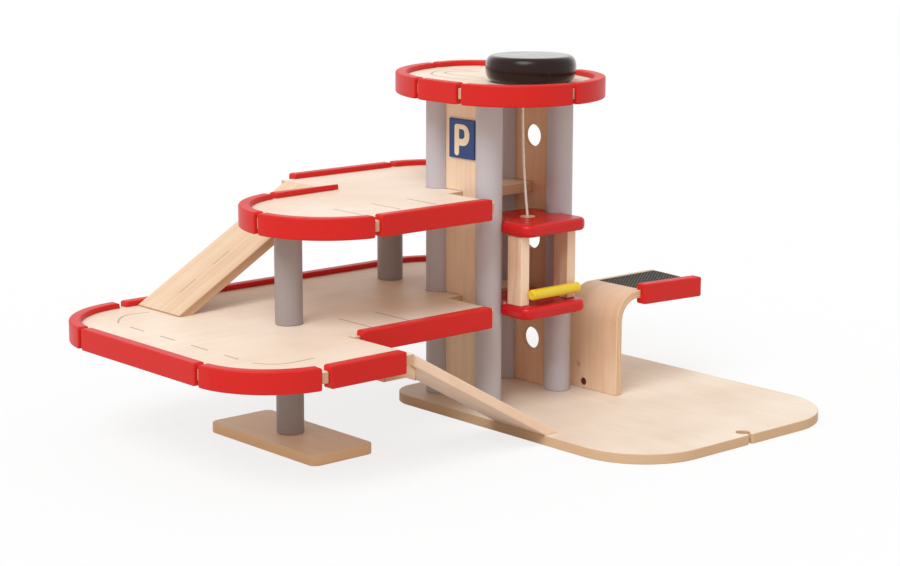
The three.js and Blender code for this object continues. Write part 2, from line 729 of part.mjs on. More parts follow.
addPiece('lift_roof', shaped(slab(liftOutline, LIFT_PLATE, liftRoofBottom, LIFT_SOFT), {
  cuts: [...liftLanes, plugHole],
}), redPaint());

const rodX = LIFT_POST_X + LIFT_POST_LONG + PLAY / 2 + ROD_RADIUS;
const rodZ = liftFloorTop + ROD_RISE;
const rightPostBack = liftBack - LIFT_POST_RIGHT_INSET;
const rodBack = rightPostBack + FIT;
const pivotY = rodBack - ROD_PIVOT_INSET;
const pinStart = LIFT_POST_X + LIFT_POST_LONG - PIN_BITE;
const pinEnd = rodX - ROD_RADIUS + PIN_REACH;
const acrossRod = (radius, from, to) => {
  const geometry = new THREE.CylinderGeometry(radius, radius, to - from, SMALL_SIDES);
  return geometry.rotateZ(Math.PI / 2).translate((from + to) / 2, pivotY, rodZ);
};
function addLiftPost(name, front, cuts) {
  const corners = rectangle(LIFT_POST_X, LIFT_POST_X + LIFT_POST_LONG, front, front + LIFT_POST_THICK, LIFT_POST_SOFT);
  const post = slab(outline(corners), LIFT_CLEAR - 2 * FIT, liftFloorTop + FIT);
  addPiece(name, cuts.length ? shaped(post, { cuts }) : post, paleWood());
}
addLiftPost('lift_post_front', liftFront + LIFT_POST_LEFT_INSET, []);
addLiftPost('lift_post_back', rightPostBack - LIFT_POST_THICK, [
  acrossRod(PIN_RADIUS + FIT, pinStart - FIT, pinEnd),
]);

addPiece('lift_barrier', shaped(turned([
  [0, -ROD_LONG],
  [ROD_RADIUS - ROD_SOFT, -ROD_LONG],
  [ROD_RADIUS, ROD_SOFT - ROD_LONG],
  [ROD_RADIUS, -ROD_SOFT],
  [ROD_RADIUS - ROD_SOFT, 0],
  [0, 0],
], SMALL_SIDES).rotateX(-Math.PI / 2).translate(rodX, rodBack, rodZ), {
  cuts: [acrossRod(PIN_RADIUS + PIN_CLEAR, rodX - ROD_RADIUS - FIT, pinEnd + FIT)],
}), yellowPaint());
addPiece('barrier_pin', acrossRod(PIN_RADIUS, pinStart, pinEnd), steel());

// Plug that anchors the cord in the lift's roof, and the cord up to the roof's hole
addPiece('cord_plug', bar(
  PLUG_RADIUS,
  LIFT_X,
  liftY,
  liftRoofTop - PLUG_DEEP + FIT,
  liftRoofTop + FIT,
), paleWood());
const cordTop = roofLevel + WINDING_RISE - FIT;
const cordRoute = new THREE.CatmullRomCurve3([
  new THREE.Vector3(LIFT_X, liftY, liftRoofTop + 2 * FIT),
  new THREE.Vector3((LIFT_X + cordX) / 2, (liftY + cordY) / 2, (liftRoofTop + roofUnder) / 2),
  new THREE.Vector3(cordX, cordY, roofUnder - 2 * CORD_RADIUS),
  new THREE.Vector3(cordX, cordY, cordTop),
]);
const cordSection = new THREE.Shape();
cordSection.absarc(0, 0, CORD_RADIUS, 0, 2 * Math.PI, false);
addPiece('lift_cord', new THREE.ExtrudeGeometry(cordSection, {
  steps: CORD_STEPS,
  extrudePath: cordRoute,
  curveSegments: CORD_SIDES,
}), whiteCord());

// Winding knob: a shell with a drum under it, turning on a screw through the roof
const knobBottom = KNOB_LIFT;
const sideRadius = (KNOB_HIGH - KNOB_LIFT) / 2;
const knobMiddle = KNOB_LIFT + sideRadius;
const cavityTop = KNOB_HIGH - KNOB_WALL;
const cavityRadius = KNOB_FOOT_RADIUS - KNOB_WALL;
const boreTop = AXLE_BITE - BOARD + FIT;
const drumBottom = KNOB_LIFT - FIT;
const knobProfile = [
  [0, boreTop],
  [AXLE_RADIUS + FIT, boreTop],
  [AXLE_RADIUS + FIT, drumBottom],
  [DRUM_RADIUS, drumBottom],
  [DRUM_RADIUS, cavityTop],
  [cavityRadius, cavityTop],
  [cavityRadius, knobBottom],
  [KNOB_FOOT_RADIUS, knobBottom],
];
for (let step = 1; step < KNOB_ARC_STEPS; step++) {
  const lean = -Math.PI / 2 + (Math.PI * step) / KNOB_ARC_STEPS;
  const shoulder = step * 2 < KNOB_ARC_STEPS ? KNOB_FOOT_RADIUS : KNOB_TOP_RADIUS;
  const reach = KNOB_RADIUS - shoulder;
  knobProfile.push([shoulder + reach * Math.cos(lean), knobMiddle + sideRadius * Math.sin(lean)]);
}
knobProfile.push([KNOB_TOP_RADIUS, KNOB_HIGH], [0, KNOB_HIGH]);
addPiece('knob', turned(knobProfile, KNOB_SIDES), blackGloss(), LIFT_X, liftY, roofLevel);
addPiece('knob_axle', turned([
  [0, 0],
  [AXLE_HEAD_RADIUS, 0],
  [AXLE_HEAD_RADIUS, AXLE_HEAD_HIGH],
  [AXLE_RADIUS, AXLE_HEAD_HIGH],
  [AXLE_RADIUS, AXLE_HEAD_HIGH + AXLE_BITE],
  [0, AXLE_HEAD_HIGH + AXLE_BITE],
], SMALL_SIDES), steel(), LIFT_X, liftY, roofUnder - FIT - AXLE_HEAD_HIGH);
addPiece('cord_winding', turned([
  [DRUM_RADIUS + FIT, WINDING_RISE],
  [WINDING_RADIUS, WINDING_RISE],
  [WINDING_RADIUS, WINDING_RISE + WINDING_HIGH],
  [DRUM_RADIUS + FIT, WINDING_RISE + WINDING_HIGH],
  [DRUM_RADIUS + FIT, WINDING_RISE],
], SMALL_SIDES), whiteCord(), LIFT_X, liftY, roofLevel);
const feltRadius = KNOB_FOOT_RADIUS - FIT;
addPiece('felt_ring', turned([
  [feltRadius - FELT_WIDE, FIT],
  [feltRadius, FIT],
  [feltRadius, FIT + FELT_THICK],
  [feltRadius - FELT_WIDE, FIT + FELT_THICK],
  [feltRadius - FELT_WIDE, FIT],
], KNOB_SIDES), greyFelt(), LIFT_X, liftY, roofLevel);

// The origin moves to the floor under the middle of the toy
const left = DECK_LEFT - railProud;
const front = LOWER_FRONT - railProud;
toy.position.set(-(left + BASE_RIGHT) / 2, -(front + baseBack) / 2, 0);

export default toy;
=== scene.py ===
import math

import bmesh
import bpy
from mathutils import Matrix, Vector


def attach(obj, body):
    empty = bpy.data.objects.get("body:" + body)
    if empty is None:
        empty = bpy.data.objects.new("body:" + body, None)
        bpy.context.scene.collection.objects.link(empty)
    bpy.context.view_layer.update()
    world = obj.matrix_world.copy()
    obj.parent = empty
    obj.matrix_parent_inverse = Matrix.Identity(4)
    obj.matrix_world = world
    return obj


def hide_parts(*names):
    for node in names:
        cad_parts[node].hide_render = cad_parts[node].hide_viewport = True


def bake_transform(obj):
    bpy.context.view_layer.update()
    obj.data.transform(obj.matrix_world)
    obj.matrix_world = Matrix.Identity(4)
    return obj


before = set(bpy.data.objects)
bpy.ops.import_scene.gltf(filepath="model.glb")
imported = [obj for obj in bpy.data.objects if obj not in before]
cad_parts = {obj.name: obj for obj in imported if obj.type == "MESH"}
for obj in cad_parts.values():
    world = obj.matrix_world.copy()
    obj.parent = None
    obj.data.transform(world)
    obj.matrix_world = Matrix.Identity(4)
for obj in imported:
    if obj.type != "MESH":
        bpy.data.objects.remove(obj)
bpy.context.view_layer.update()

# Camera: it stands off the toy's right front corner, a little higher than the roof, with a long
# lens, so the posts stay upright and the boards are seen from just above.
camera_data = bpy.data.cameras.new("camera")
camera_data.sensor_width = 36
camera_data.lens = 85.42
camera_data.clip_end = 100
camera = bpy.data.objects.new("camera", camera_data)
camera.location = (1.43327, -1.26881, 0.52308)
camera.rotation_euler = [math.radians(turn) for turn in (78.587, -0.108, 48.527)]
bpy.context.scene.collection.objects.link(camera)
bpy.context.scene.camera = camera
bpy.context.scene.view_settings.view_transform = "Standard"

# Lift cord: soft white cotton, laid from three strands. It is glued into the plug in the cage's
# roof and goes up through a hole in the roof board to the drum inside the knob.
MM = 0.001
TOWER = Vector((-0.0135, 0.05905, 0.0))
BOARD, ROOF = 9.6, 313.4
LIFT_X, LIFT_Y = 7.0, 45.7
CAGE_FLOOR, CAGE_CLEAR, PLATE = 108.0, 66.0, 12.0
CAGE_TOP = CAGE_FLOOR + CAGE_CLEAR + PLATE
PLUG_SHIFT, PLUG_DIMPLE = 1.2, 0.6
CORD_RADIUS, CORD_SIDES, CORD_STEPS = 1.2, 18, 210
STRANDS, STRAND_TURN, STRAND_DEEP = 3, 6.5, 0.13
CORD_LANE, CORD_LEAN, CORD_UNDER_ROOF, CORD_OVER_ROOF = 5.0, 2.4, 2.4, 2.1


def point(x, y, z):
    """Point of the frame, from millimetres off the foot of the tower's right front post."""
    return TOWER + Vector((x, y, z)) * MM


def colour(red, green, blue):
    """Linear colour of a paint chip read as it looks on a screen, 0 to 255."""
    return tuple(
        c / 12.92 if c <= 0.04045 else ((c + 0.055) / 1.055) ** 2.4
        for c in (red / 255, green / 255, blue / 255)
    ) + (1.0,)


class Field:
    """Number, colour or vector that changes over a surface: the output of a node. Sums of fields
    make the nodes that work them out."""

    def __init__(self, socket):
        self.socket = socket
        self.tree = socket.id_data

    def __add__(self, other):
        return calc("ADD", self, other)

    def __sub__(self, other):
        return calc("SUBTRACT", self, other)

    def __rsub__(self, other):
        return calc("SUBTRACT", other, self)

    def __mul__(self, other):
        return calc("MULTIPLY", self, other)

    def __truediv__(self, other):
        return calc("DIVIDE", self, other)

    def __pow__(self, other):
        return calc("POWER", self, other)

    def __abs__(self):
        return calc("ABSOLUTE", self)


def put(tree, kind, inputs=(), **settings):
    """Adds a node. An input is set to a value, or linked where a field is given."""
    made = tree.nodes.new(kind)
    for key, value in settings.items():
        setattr(made, key, value)
    for key, value in dict(inputs).items():
        if isinstance(value, Field):
            tree.links.new(value.socket, made.inputs[key])
        else:
            made.inputs[key].default_value = value
    return made


def join(kind, inputs, output=0, **settings):
    """Adds a node beside the fields that go into it, and gives the field that comes out."""
    tree = next(value.tree for value in inputs.values() if isinstance(value, Field))
    return Field(put(tree, kind, inputs, **settings).outputs[output])


def calc(operation, *values):
    return join("ShaderNodeMath", dict(enumerate(values)), operation=operation)


def vector(operation, *values):
    output = "Value" if operation in ("DOT_PRODUCT", "LENGTH") else "Vector"
    return join("ShaderNodeVectorMath", dict(enumerate(values)), output, operation=operation)


def remap(value, low, high, start=0.0, end=1.0):
    """Field carried from low..high to start..end, and held at both ends."""
    return join("ShaderNodeMapRange", {0: value, 1: low, 2: high, 3: start, 4: end})


def noise(place, scale, detail=2.0, rough=0.5):
    return join("ShaderNodeTexNoise", {
        "Vector": place, "Scale": scale, "Detail": detail, "Roughness": rough})


def mix(share, first, second, mode="MIX"):
    return join("ShaderNodeMix", {0: share, 6: first, 7: second}, 2,
                data_type="RGBA", blend_type=mode)


def effect(name, inputs, recipe):
    """Node group that gives a colour, a roughness and a height. A recipe makes them from the place
    on the piece and from the named inputs."""
    tree = bpy.data.node_groups.new(name, "ShaderNodeTree")
    outputs = {"Color": "Color", "Roughness": "Float", "Height": "Float"}
    for way, sockets in (("INPUT", inputs), ("OUTPUT", outputs)):
        for label, kind in sockets.items():
            tree.interface.new_socket(label, in_out=way, socket_type="NodeSocket" + kind)
    given = tree.nodes.new("NodeGroupInput").outputs
    result = tree.nodes.new("NodeGroupOutput").inputs
    place = Field(put(tree, "ShaderNodeTexCoord").outputs["Object"])
    for label, made in zip(outputs, recipe(place, {key: Field(given[key]) for key in inputs})):
        tree.links.new(made.socket, result[label])
    return tree


def surface(name, group, values, relief, **shader):
    """Material from an effect, with its height turned into relief of so many millimetres. Colours
    are given as they look on a screen, 0 to 255."""
    made = bpy.data.materials.new(name)
    made.use_nodes = True
    tree = made.node_tree
    principled = tree.nodes["Principled BSDF"].inputs
    detail = put(tree, "ShaderNodeGroup", node_tree=group)
    for key, value in values.items():
        socket = detail.inputs[key]
        socket.default_value = colour(*value) if socket.type == "RGBA" else value
    bump = put(tree, "ShaderNodeBump", {
        "Height": Field(detail.outputs["Height"]), "Distance": relief * MM})
    tree.links.new(detail.outputs["Color"], principled["Base Color"])
    tree.links.new(detail.outputs["Roughness"], principled["Roughness"])
    tree.links.new(bump.outputs["Normal"], principled["Normal"])
    for key, value in shader.items():
        principled[key.replace("_", " ")].default_value = value
    return made


def spun_fibre(place, given):
    """Spun fibre: fine pale and darker hairs that run round and along."""
    hairs = noise(vector("MULTIPLY", place, (9000, 9000, 2500)), 0.5, 3, 0.7)
    shade = mix(hairs * remap(noise(place, 260), 0.3, 0.7, 0.5, 1), given["Pale"], given["Dark"])
    return shade, remap(hairs, 0, 1, 0.75, 0.95), hairs


SPUN = effect("spun fibre", {"Pale": "Color", "Dark": "Color"}, spun_fibre)
cotton = surface("cotton cord", SPUN, {"Pale": (250, 248, 242), "Dark": (214, 208, 196)}, 0.12,
                 Sheen_Weight=0.3)


def piece(name, bm, material, slot, body, *nodes, crease=38):
    """Makes a shaded piece of a mesh in frame metres. It rides on a body and stands for nodes."""
    bmesh.ops.recalc_face_normals(bm, faces=bm.faces)
    mesh = bpy.data.meshes.new(name)
    bm.to_mesh(mesh)
    bm.free()
    mesh.shade_smooth()
    mesh.set_sharp_from_angle(angle=math.radians(crease))
    mesh.materials.append(material)
    made = bpy.data.objects.new(name, mesh)
    bpy.context.scene.collection.objects.link(made)
    made.modifiers.new("even shading", "WEIGHTED_NORMAL").keep_sharp = True
    if body:
        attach(made, body)
    if nodes:
        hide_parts(*nodes)
    return made


def skin(bm, rings, closed=True):
    """Faces between rings of vertices; a ring of one vertex is a tip."""
    for first, second in zip(rings, rings[1:]):
        count = max(len(first), len(second))
        for i in range(count if closed else count - 1):
            j = (i + 1) % count
            corners = [first[i % len(first)], first[j % len(first)],
                       second[j % len(second)], second[i % len(second)]]
            bm.faces.new(list(dict.fromkeys(corners)))


cord_start = Vector((LIFT_X - PLUG_SHIFT, LIFT_Y - PLUG_SHIFT, CAGE_TOP - PLUG_DIMPLE))
cord_bend = Vector((LIFT_X - CORD_LANE, LIFT_Y - CORD_LANE, ROOF - BOARD - CORD_UNDER_ROOF))
cord_end = Vector((cord_bend.x, cord_bend.y, ROOF + CORD_OVER_ROOF))
cord_bm = bmesh.new()
cord_rings = []
for step in range(CORD_STEPS + 1):
    height = cord_start.z + (cord_end.z - cord_start.z) * step / CORD_STEPS
    along = min(1.0, (height - cord_start.z) / (cord_bend.z - cord_start.z))
    middle = cord_start.lerp(cord_bend, 1 - (1 - along) ** CORD_LEAN)
    lay = 2 * math.pi * height / (STRANDS * STRAND_TURN)
    ring = []
    for side in range(CORD_SIDES):
        bearing = 2 * math.pi * side / CORD_SIDES
        dip = 1 - abs(math.cos(STRANDS / 2 * (bearing - lay)))
        radius = CORD_RADIUS * (1 - STRAND_DEEP * dip)
        ring.append(cord_bm.verts.new(point(
            middle.x + radius * math.cos(bearing), middle.y + radius * math.sin(bearing), height)))
    cord_rings.append(ring)
skin(cord_bm, cord_rings)
cord_bm.faces.new(cord_rings[0])
cord_bm.faces.new(cord_rings[-1])
hoist_cord = piece("hoist_cord", cord_bm, cotton, "cord", None, "lift_cord", crease=80)
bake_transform(hoist_cord)

# Studio: a white floor and an even, slightly warm surround, with one wide soft light high on the
# left of the camera. Seen directly or in a shine, floor and surround are white and the floor keeps
# a light shadow of the toy.
FLOOR_HALF, WHITE_SHARE, SURROUND_POWER = 20, 0.78, 0.75
FLOOR_LIT, FLOOR_SEEN = (0.68, 0.63, 0.575, 1), (0.86, 0.89, 0.92, 1)
SURROUND_TONE, WHITE = (1, 0.885, 0.805, 1), (1, 1, 1, 1)
floor_bm = bmesh.new()
bmesh.ops.create_grid(floor_bm, x_segments=2, y_segments=2, size=FLOOR_HALF)
floor_mesh = bpy.data.meshes.new("floor")
floor_bm.to_mesh(floor_mesh)
floor_bm.free()
floor = bpy.data.objects.new("floor", floor_mesh)
bpy.context.scene.collection.objects.link(floor)
floor_paint = bpy.data.materials.new("pale floor")
floor_paint.use_nodes = True
paper = floor_paint.node_tree
floor_shader = paper.nodes["Principled BSDF"]
floor_shader.inputs["Roughness"].default_value = 0.9
floor_shader.inputs["Specular IOR Level"].default_value = 0.1
floor_mesh.materials.append(floor_paint)


def seen_directly(tree):
    """1 where the camera, a shine or clear matter looks, 0 for the light that falls on the toy."""
    path = put(tree, "ShaderNodeLightPath").outputs
    camera_ray, shine_ray, clear_ray = (
        Field(path[f"Is {kind} Ray"]) for kind in ("Camera", "Glossy", "Transmission"))
    return calc("MAXIMUM", calc("MAXIMUM", camera_ray, shine_ray), clear_ray)


def blend_shaders(share, first, second):
    return join("ShaderNodeMixShader", {
        0: share, 1: Field(first.outputs[0]), 2: Field(second.outputs[0])}).socket


paper_tone = mix(seen_directly(paper), FLOOR_LIT, FLOOR_SEEN)
paper.links.new(paper_tone.socket, floor_shader.inputs["Base Color"])
glow = put(paper, "ShaderNodeEmission", {"Color": WHITE, "Strength": 1.0})
paper.links.new(blend_shaders(seen_directly(paper) * WHITE_SHARE, floor_shader, glow),
                paper.nodes["Material Output"].inputs["Surface"])

world = bpy.data.worlds.new("studio")
world.use_nodes = True
bpy.context.scene.world = world
sky = world.node_tree
sky.nodes.clear()
surround = put(sky, "ShaderNodeBackground", {
    "Color": SURROUND_TONE, "Strength": SURROUND_POWER})
backdrop = put(sky, "ShaderNodeBackground", {"Color": WHITE, "Strength": 1.0})
sky.links.new(blend_shaders(seen_directly(sky), surround, backdrop),
              put(sky, "ShaderNodeOutputWorld").inputs["Surface"])

key_data = bpy.data.lights.new("key", "SUN")
key_data.energy = 1.9
key_data.angle = math.radians(32)
key_data.color = (0.87, 0.96, 1)
key = bpy.data.objects.new("key", key_data)
key.rotation_euler = Vector((0.25, -0.59, 0.768)).to_track_quat("Z", "Y").to_euler()
bpy.context.scene.collection.objects.link(key)

# Ground board: thick birch plywood under clear lacquer, its edges eased by hand, with a keyhole in
# the right edge that takes the knob of a road piece. The tower is screwed to it from below.
GROUND_LEFT, GROUND_RIGHT, GROUND_FRONT, GROUND_BACK = -107.0, 235.0, -36.2, 246.4
GROUND_TIGHT, GROUND_WIDE, GROUND_EASE = 31.0, 70.0, 0.8
SLOT_HALF, SLOT_Y, SLOT_MOUTH, KEYHOLE_RADIUS, KEYHOLE_X = 1.7, 106.8, 2.6, 6.3, 224.8
TOWER_WIDE, TOWER_LONG = 70.3, 91.4
POST_PLACES = {
    "left_front": (-TOWER_WIDE, 0.0),
    "right_front": (0.0, 0.0),
    "right_back": (0.0, TOWER_LONG),
    "left_back": (-TOWER_WIDE, TOWER_LONG),
}
SCREW_HOLE, BOLT_PLACE, BOLT_HOLE = 4.3, (15.0, 116.9), 3.7
ARC_STEP, ARC_FEWEST, ARC_MOST = 1.2, 5, 60
MITRE_LEAST, SIDE_LEAST = 0.2, 0.5
GLUE_TINT = (0.5, 0.36, 0.26, 1)


def rounded(corners, step=ARC_STEP):
    """Outline with each corner (x, y, radius) rounded, in arcs of short steps."""
    points = []
    for i, (x, y, radius) in enumerate(corners):
        corner = Vector((x, y))
        if not radius:
            points.append(corner)
            continue
        arriving = (corner - Vector(corners[i - 1][:2])).normalized()
        leaving = (Vector(corners[(i + 1) % len(corners)][:2]) - corner).normalized()
        turn = math.atan2(arriving.cross(leaving), arriving.dot(leaving))
        side = math.copysign(radius, turn)
        centre = corner - arriving * radius * math.tan(abs(turn) / 2)
        centre += Vector((-arriving.y, arriving.x)) * side
        spoke = Vector((arriving.y, -arriving.x)) * side
        count = math.ceil(radius * abs(turn) / step)
        count = max(ARC_FEWEST, min(ARC_MOST, count))
        for k in range(count + 1):
            points.append(centre + Matrix.Rotation(turn * k / count, 2) @ spoke)
    return points


def circle(x, y, radius, sides=40, start=0.0, end=2 * math.pi):
    """Points round a circle, or along an arc with both ends where it isn't a whole turn."""
    whole = math.isclose(abs(end - start), 2 * math.pi)
    return [
        Vector((x + radius * math.cos(start + (end - start) * k / sides),
                y + radius * math.sin(start + (end - start) * k / sides)))
        for k in range(sides if whole else sides + 1)
    ]


def outward(points):
    """Mitred directions away from the material of a closed outline that has it on the left."""
    ways = []
    for i, spot in enumerate(points):
        before = (spot - points[i - 1]).normalized()
        after = (points[(i + 1) % len(points)] - spot).normalized()
        first, second = Vector((before.y, -before.x)), Vector((after.y, -after.x))
        ways.append((first + second) / max(MITRE_LEAST, 1 + first.dot(second)))
    return ways


def eased(soft, steps=3):
    """(inset, rise) pairs of a rounded edge, from the flat face to the side."""
    turns = [math.pi / 2 * k / steps for k in range(steps + 1)]
    return [(soft * (1 - math.sin(turn)), soft * (1 - math.cos(turn))) for turn in turns]


def board(loops, low, high, soft=0.6, stand=Matrix.Identity(4), clear=1.2):
    """Mesh of a flat piece cut to an outline and its holes, from low to high, edges rounded.
    The attribute rim is 1 on the rounded edges, where a hand rubs and where paint gets a
    painted highlight, and 0 on the flats."""
    bm = bmesh.new()
    rim = bm.verts.layers.float.new("rim")
    rounds = eased(soft)
    levels = [(soft + clear, low, 0.0)]
    levels += [(inset, low + rise, 1.0) for inset, rise in rounds]
    if high - low > 2 * (soft + clear) + SIDE_LEAST:
        levels += [(0.0, low + soft + clear, 0.0), (0.0, high - soft - clear, 0.0)]
    else:
        levels += [(0.0, (low + high) / 2, 0.0)]
    levels += [(inset, high - rise, 1.0) for inset, rise in reversed(rounds)]
    levels += [(soft + clear, high, 0.0)]
    caps = [[], []]
    for points in loops:
        ways = outward(points)
        rings = []
        for inset, height, worn in levels:
            ring = []
            for place, way in zip(points, ways):
                flat = place - way * inset
                vert = bm.verts.new(point(*(stand @ Vector((flat.x, flat.y, height)))))
                vert[rim] = worn
                ring.append(vert)
            rings.append(ring)
        skin(bm, rings)
        for cap, ring in zip(caps, (rings[0], rings[-1])):
            cap += [bm.edges.get((ring[i - 1], ring[i])) for i in range(len(ring))]
    for cap in caps:
        bmesh.ops.triangle_fill(bm, use_beauty=True, use_dissolve=False, edges=cap)
    return bm


def hole(x, y, radius, sides=32):
    return circle(x, y, radius, sides)[::-1]


def facing(place):
    """Way that the surface faces, along the piece's own axes."""
    return Field(put(place.tree, "ShaderNodeTexCoord").outputs["Normal"])


def rim_of(place):
    """The mesh's attribute rim, which is 0 where a mesh has none."""
    return Field(put(place.tree, "ShaderNodeAttribute", attribute_name="rim").outputs["Fac"])


def lay_flat(place, given):
    """Straight sheet: where the grain lies, how many plies deep a point is, and its edge."""
    depth = vector("DOT_PRODUCT", place, given["Stack"]) - given["Start"]
    square_on = vector("DOT_PRODUCT", facing(place), vector("NORMALIZE", given["Stack"]))
    laid = join("ShaderNodeVectorRotate", {"Vector": place, "Rotation": given["Turn"]},
                rotation_type="EULER_XYZ")
    return laid, depth, remap(abs(square_on), 0.85, 0.55)


def wood_effect(name, lay):
    """Lacquered wood: long fibres, soft streaks and clouds, small flecks, and plies on the edge."""
    def wood(spot, given):
        place, depth, side = lay(spot, given)
        long_way = vector("ADD", vector("MULTIPLY", place, given["Grain"]), noise(place, 9) * 9)
        streaks = remap(noise(long_way, 0.22, 3, 0.55), 0.36, 0.68)
        fibres = noise(long_way, 1.3, 4, 0.7)
        flecks = remap(noise(long_way, 2.4, 1), 0.68, 0.8)
        clouds = remap(noise(place, 13), 0.35, 0.7)
        figure = streaks * 0.42 + clouds * given["Clouds"] + fibres * 0.38 + flecks * 0.4
        face = mix(figure * given["Figure"], given["Pale"], given["Dark"])
        off_middle = abs(calc("FRACT", depth) - 0.5)
        crossed = calc("GREATER_THAN", calc("FRACT", depth * 0.5), 0.5)
        tone = remap(off_middle, 0.3, 0.46) * 0.7 + crossed * 0.15 + fibres * 0.25
        edge = mix(tone, given["Edge"], given["Dark"])
        glue = remap(off_middle, 0.36, 0.46) * given["Glue"]
        edge = mix(glue, edge, GLUE_TINT, "MULTIPLY")
        rubbed = rim_of(place) * remap(noise(place, 60, 3), 0.35, 0.7, 0.02, 0.22)
        shade = mix(rubbed, mix(side, face, edge), given["Dark"])
        rough = remap(fibres + side * 0.5, 0.2, 1.3, 0.38, 0.68)
        return shade, rough, fibres + streaks * 0.5

    return effect(name, {
        "Pale": "Color", "Dark": "Color", "Edge": "Color", "Grain": "Vector", "Stack": "Vector",
        "Start": "Float", "Turn": "Vector", "Figure": "Float", "Clouds": "Float", "Glue": "Float",
    }, wood)


FLAT_PLY = wood_effect("flat plywood", lay_flat)


def plywood(name, pale, dark, edge, grain, low, thick, plies=5, stack=(0, 0, 1), figure=0.5,
            clouds=0.3, turn=0.0, glue=0.4):
    """Lacquered plywood, so thick from a height low. Its grain runs along the axis with the small
    number of grain, and its plies lie on each other along stack."""
    per_metre = plies / (thick * MM)
    return surface(name, FLAT_PLY, {
        "Pale": pale, "Dark": dark, "Edge": edge, "Grain": grain, "Figure": figure,
        "Clouds": clouds, "Turn": (turn, 0, 0), "Glue": glue,
        "Stack": Vector(stack) * per_metre, "Start": low * MM * per_metre,
    }, 0.04, Specular_IOR_Level=0.35)


GRAIN_X, GRAIN_Y, GRAIN_Z = (22, 700, 700), (700, 22, 700), (700, 700, 22)
BIRCH_EDGE = (212, 176, 139)
neck_turn = math.asin(SLOT_HALF / KEYHOLE_RADIUS)
keyhole = circle(KEYHOLE_X, SLOT_Y, KEYHOLE_RADIUS, 36, -neck_turn, neck_turn - 2 * math.pi)
ground_outline = rounded([
    (GROUND_LEFT, GROUND_FRONT, GROUND_TIGHT), (GROUND_RIGHT, GROUND_FRONT, GROUND_WIDE),
    (GROUND_RIGHT, SLOT_Y - SLOT_HALF, SLOT_MOUTH),
    *[(spot.x, spot.y, 0) for spot in keyhole],
    (GROUND_RIGHT, SLOT_Y + SLOT_HALF, SLOT_MOUTH),
    (GROUND_RIGHT, GROUND_BACK, GROUND_WIDE), (GROUND_LEFT, GROUND_BACK, GROUND_TIGHT),
])
ground_loops = [ground_outline, hole(*BOLT_PLACE, BOLT_HOLE)]
ground_loops += [hole(x, y, SCREW_HOLE) for x, y in POST_PLACES.values()]
# The ground board's birch is a little darker than the decks' birch: painted shade from the tower
# standing on it.
ground_ply_painted_shade = plywood("ground plywood", (239, 227, 211), (212, 186, 157), BIRCH_EDGE, GRAIN_X,
                     0, BOARD, figure=0.32, clouds=1.1)
piece("ground_board", board(ground_loops, 0, BOARD, GROUND_EASE), ground_ply_painted_shade,
      "pale_ply", "garage", "base_board")

# Foot: a smaller board of warm solid rubberwood that stands by itself under the lower deck and
# carries it on one post, screwed on from below.
FOOT_X, FOOT_Y = -44.0, -201.0
FOOT_LONG, FOOT_WIDE, FOOT_CORNER = 156.5, 68.5, 8.0


def rectangle(left, right, front, back, radius):
    corners = (left, front), (right, front), (right, back), (left, back)
    return [(*corner, radius) for corner in corners]


def solid_wood(name, pale, dark, edge, grain, low=0, **more):
    """Lacquered solid wood: one layer that is thicker than any piece cut from it."""
    return plywood(name, pale, dark, edge, grain, low, 100, 1, **more)


foot_outline = rounded(rectangle(
    FOOT_X - FOOT_LONG / 2, FOOT_X + FOOT_LONG / 2, FOOT_Y - FOOT_WIDE / 2, FOOT_Y + FOOT_WIDE / 2,
    FOOT_CORNER))
# The foot's wood is made almost white: painted light on a board that lies in the lower deck's
# shadow.
foot_wood_painted_light = solid_wood("foot wood", (254, 236, 216), (234, 196, 160), (250, 212, 170), GRAIN_X, -40)
piece("foot_plate", board([foot_outline, hole(FOOT_X, FOOT_Y, SCREW_HOLE)], 0, BOARD, GROUND_EASE),
      foot_wood_painted_light, "beech", "garage", "foot_board")

# Posts: round dowels of 25 mm in satin grey paint. Those of the tower are grooved for the two
# panels and stand from the ground board to the roof; the others stand between two boards.
LOWER, UPPER = 109.7, 209.8
POST_RADIUS, POST_SIDES, POST_EASE, FINE_CREASE = 12.5, 88, 0.5, 32
DECK_POST_X = -143.8
GAP = 0.3
PANEL_HALF, GROOVE_FLOOR = 2.0, 7.2


def satin_paint(place, given):
    """Brushed satin paint: slow changes of tone, faint wood under it, and thinner, lighter
    paint on the rounded edges, which is partly wear and partly a painted highlight.
    """
    slow = remap(noise(place, 22, 3), 0.3, 0.7)
    under = noise(vector("MULTIPLY", place, given["Grain"]), 0.8, 4, 0.65)
    specks = remap(noise(place, 420, 1), 0.74, 0.8)
    rim = rim_of(place)
    # The rounded edges are lightened towards the thin colour: partly worn paint, partly a painted
    # highlight.
    rubbed = rim * remap(noise(place, 75, 4, 0.65), 0.42, 0.76, 0.03, 0.35)
    shade = given["Paint"]
    for thinned in (slow * 0.1, remap(under, 0.45, 0.75) * 0.1,
                    calc("MAXIMUM", rubbed, specks * 0.12)):
        shade = mix(thinned, shade, given["Thin"])
    rough = given["Gloss"] + remap(slow, 0, 1, -0.03, 0.05) + rim * 0.05
    return shade, rough, under * 0.7 + noise(place, 1400) * 0.5


PAINT = effect("satin paint", {
    "Paint": "Color", "Thin": "Color", "Grain": "Vector", "Gloss": "Float"}, satin_paint)


def paint(name, shade, thin, grain, gloss, relief=0.03, **shader):
    return surface(name, PAINT, {"Paint": shade, "Thin": thin, "Grain": grain, "Gloss": gloss},
                   relief, **shader)


tower_grey = paint("tower grey", (189, 185, 191), (204, 198, 201), GRAIN_Z, 0.46,
                   Specular_IOR_Level=0.35)
# The legs' grey is a darker copy of the tower's grey: painted shade for where they stand under the
# decks.
leg_grey_painted_shade = paint("leg grey", (156, 147, 146), (176, 166, 163), GRAIN_Z, 0.46,
                 Specular_IOR_Level=0.35)


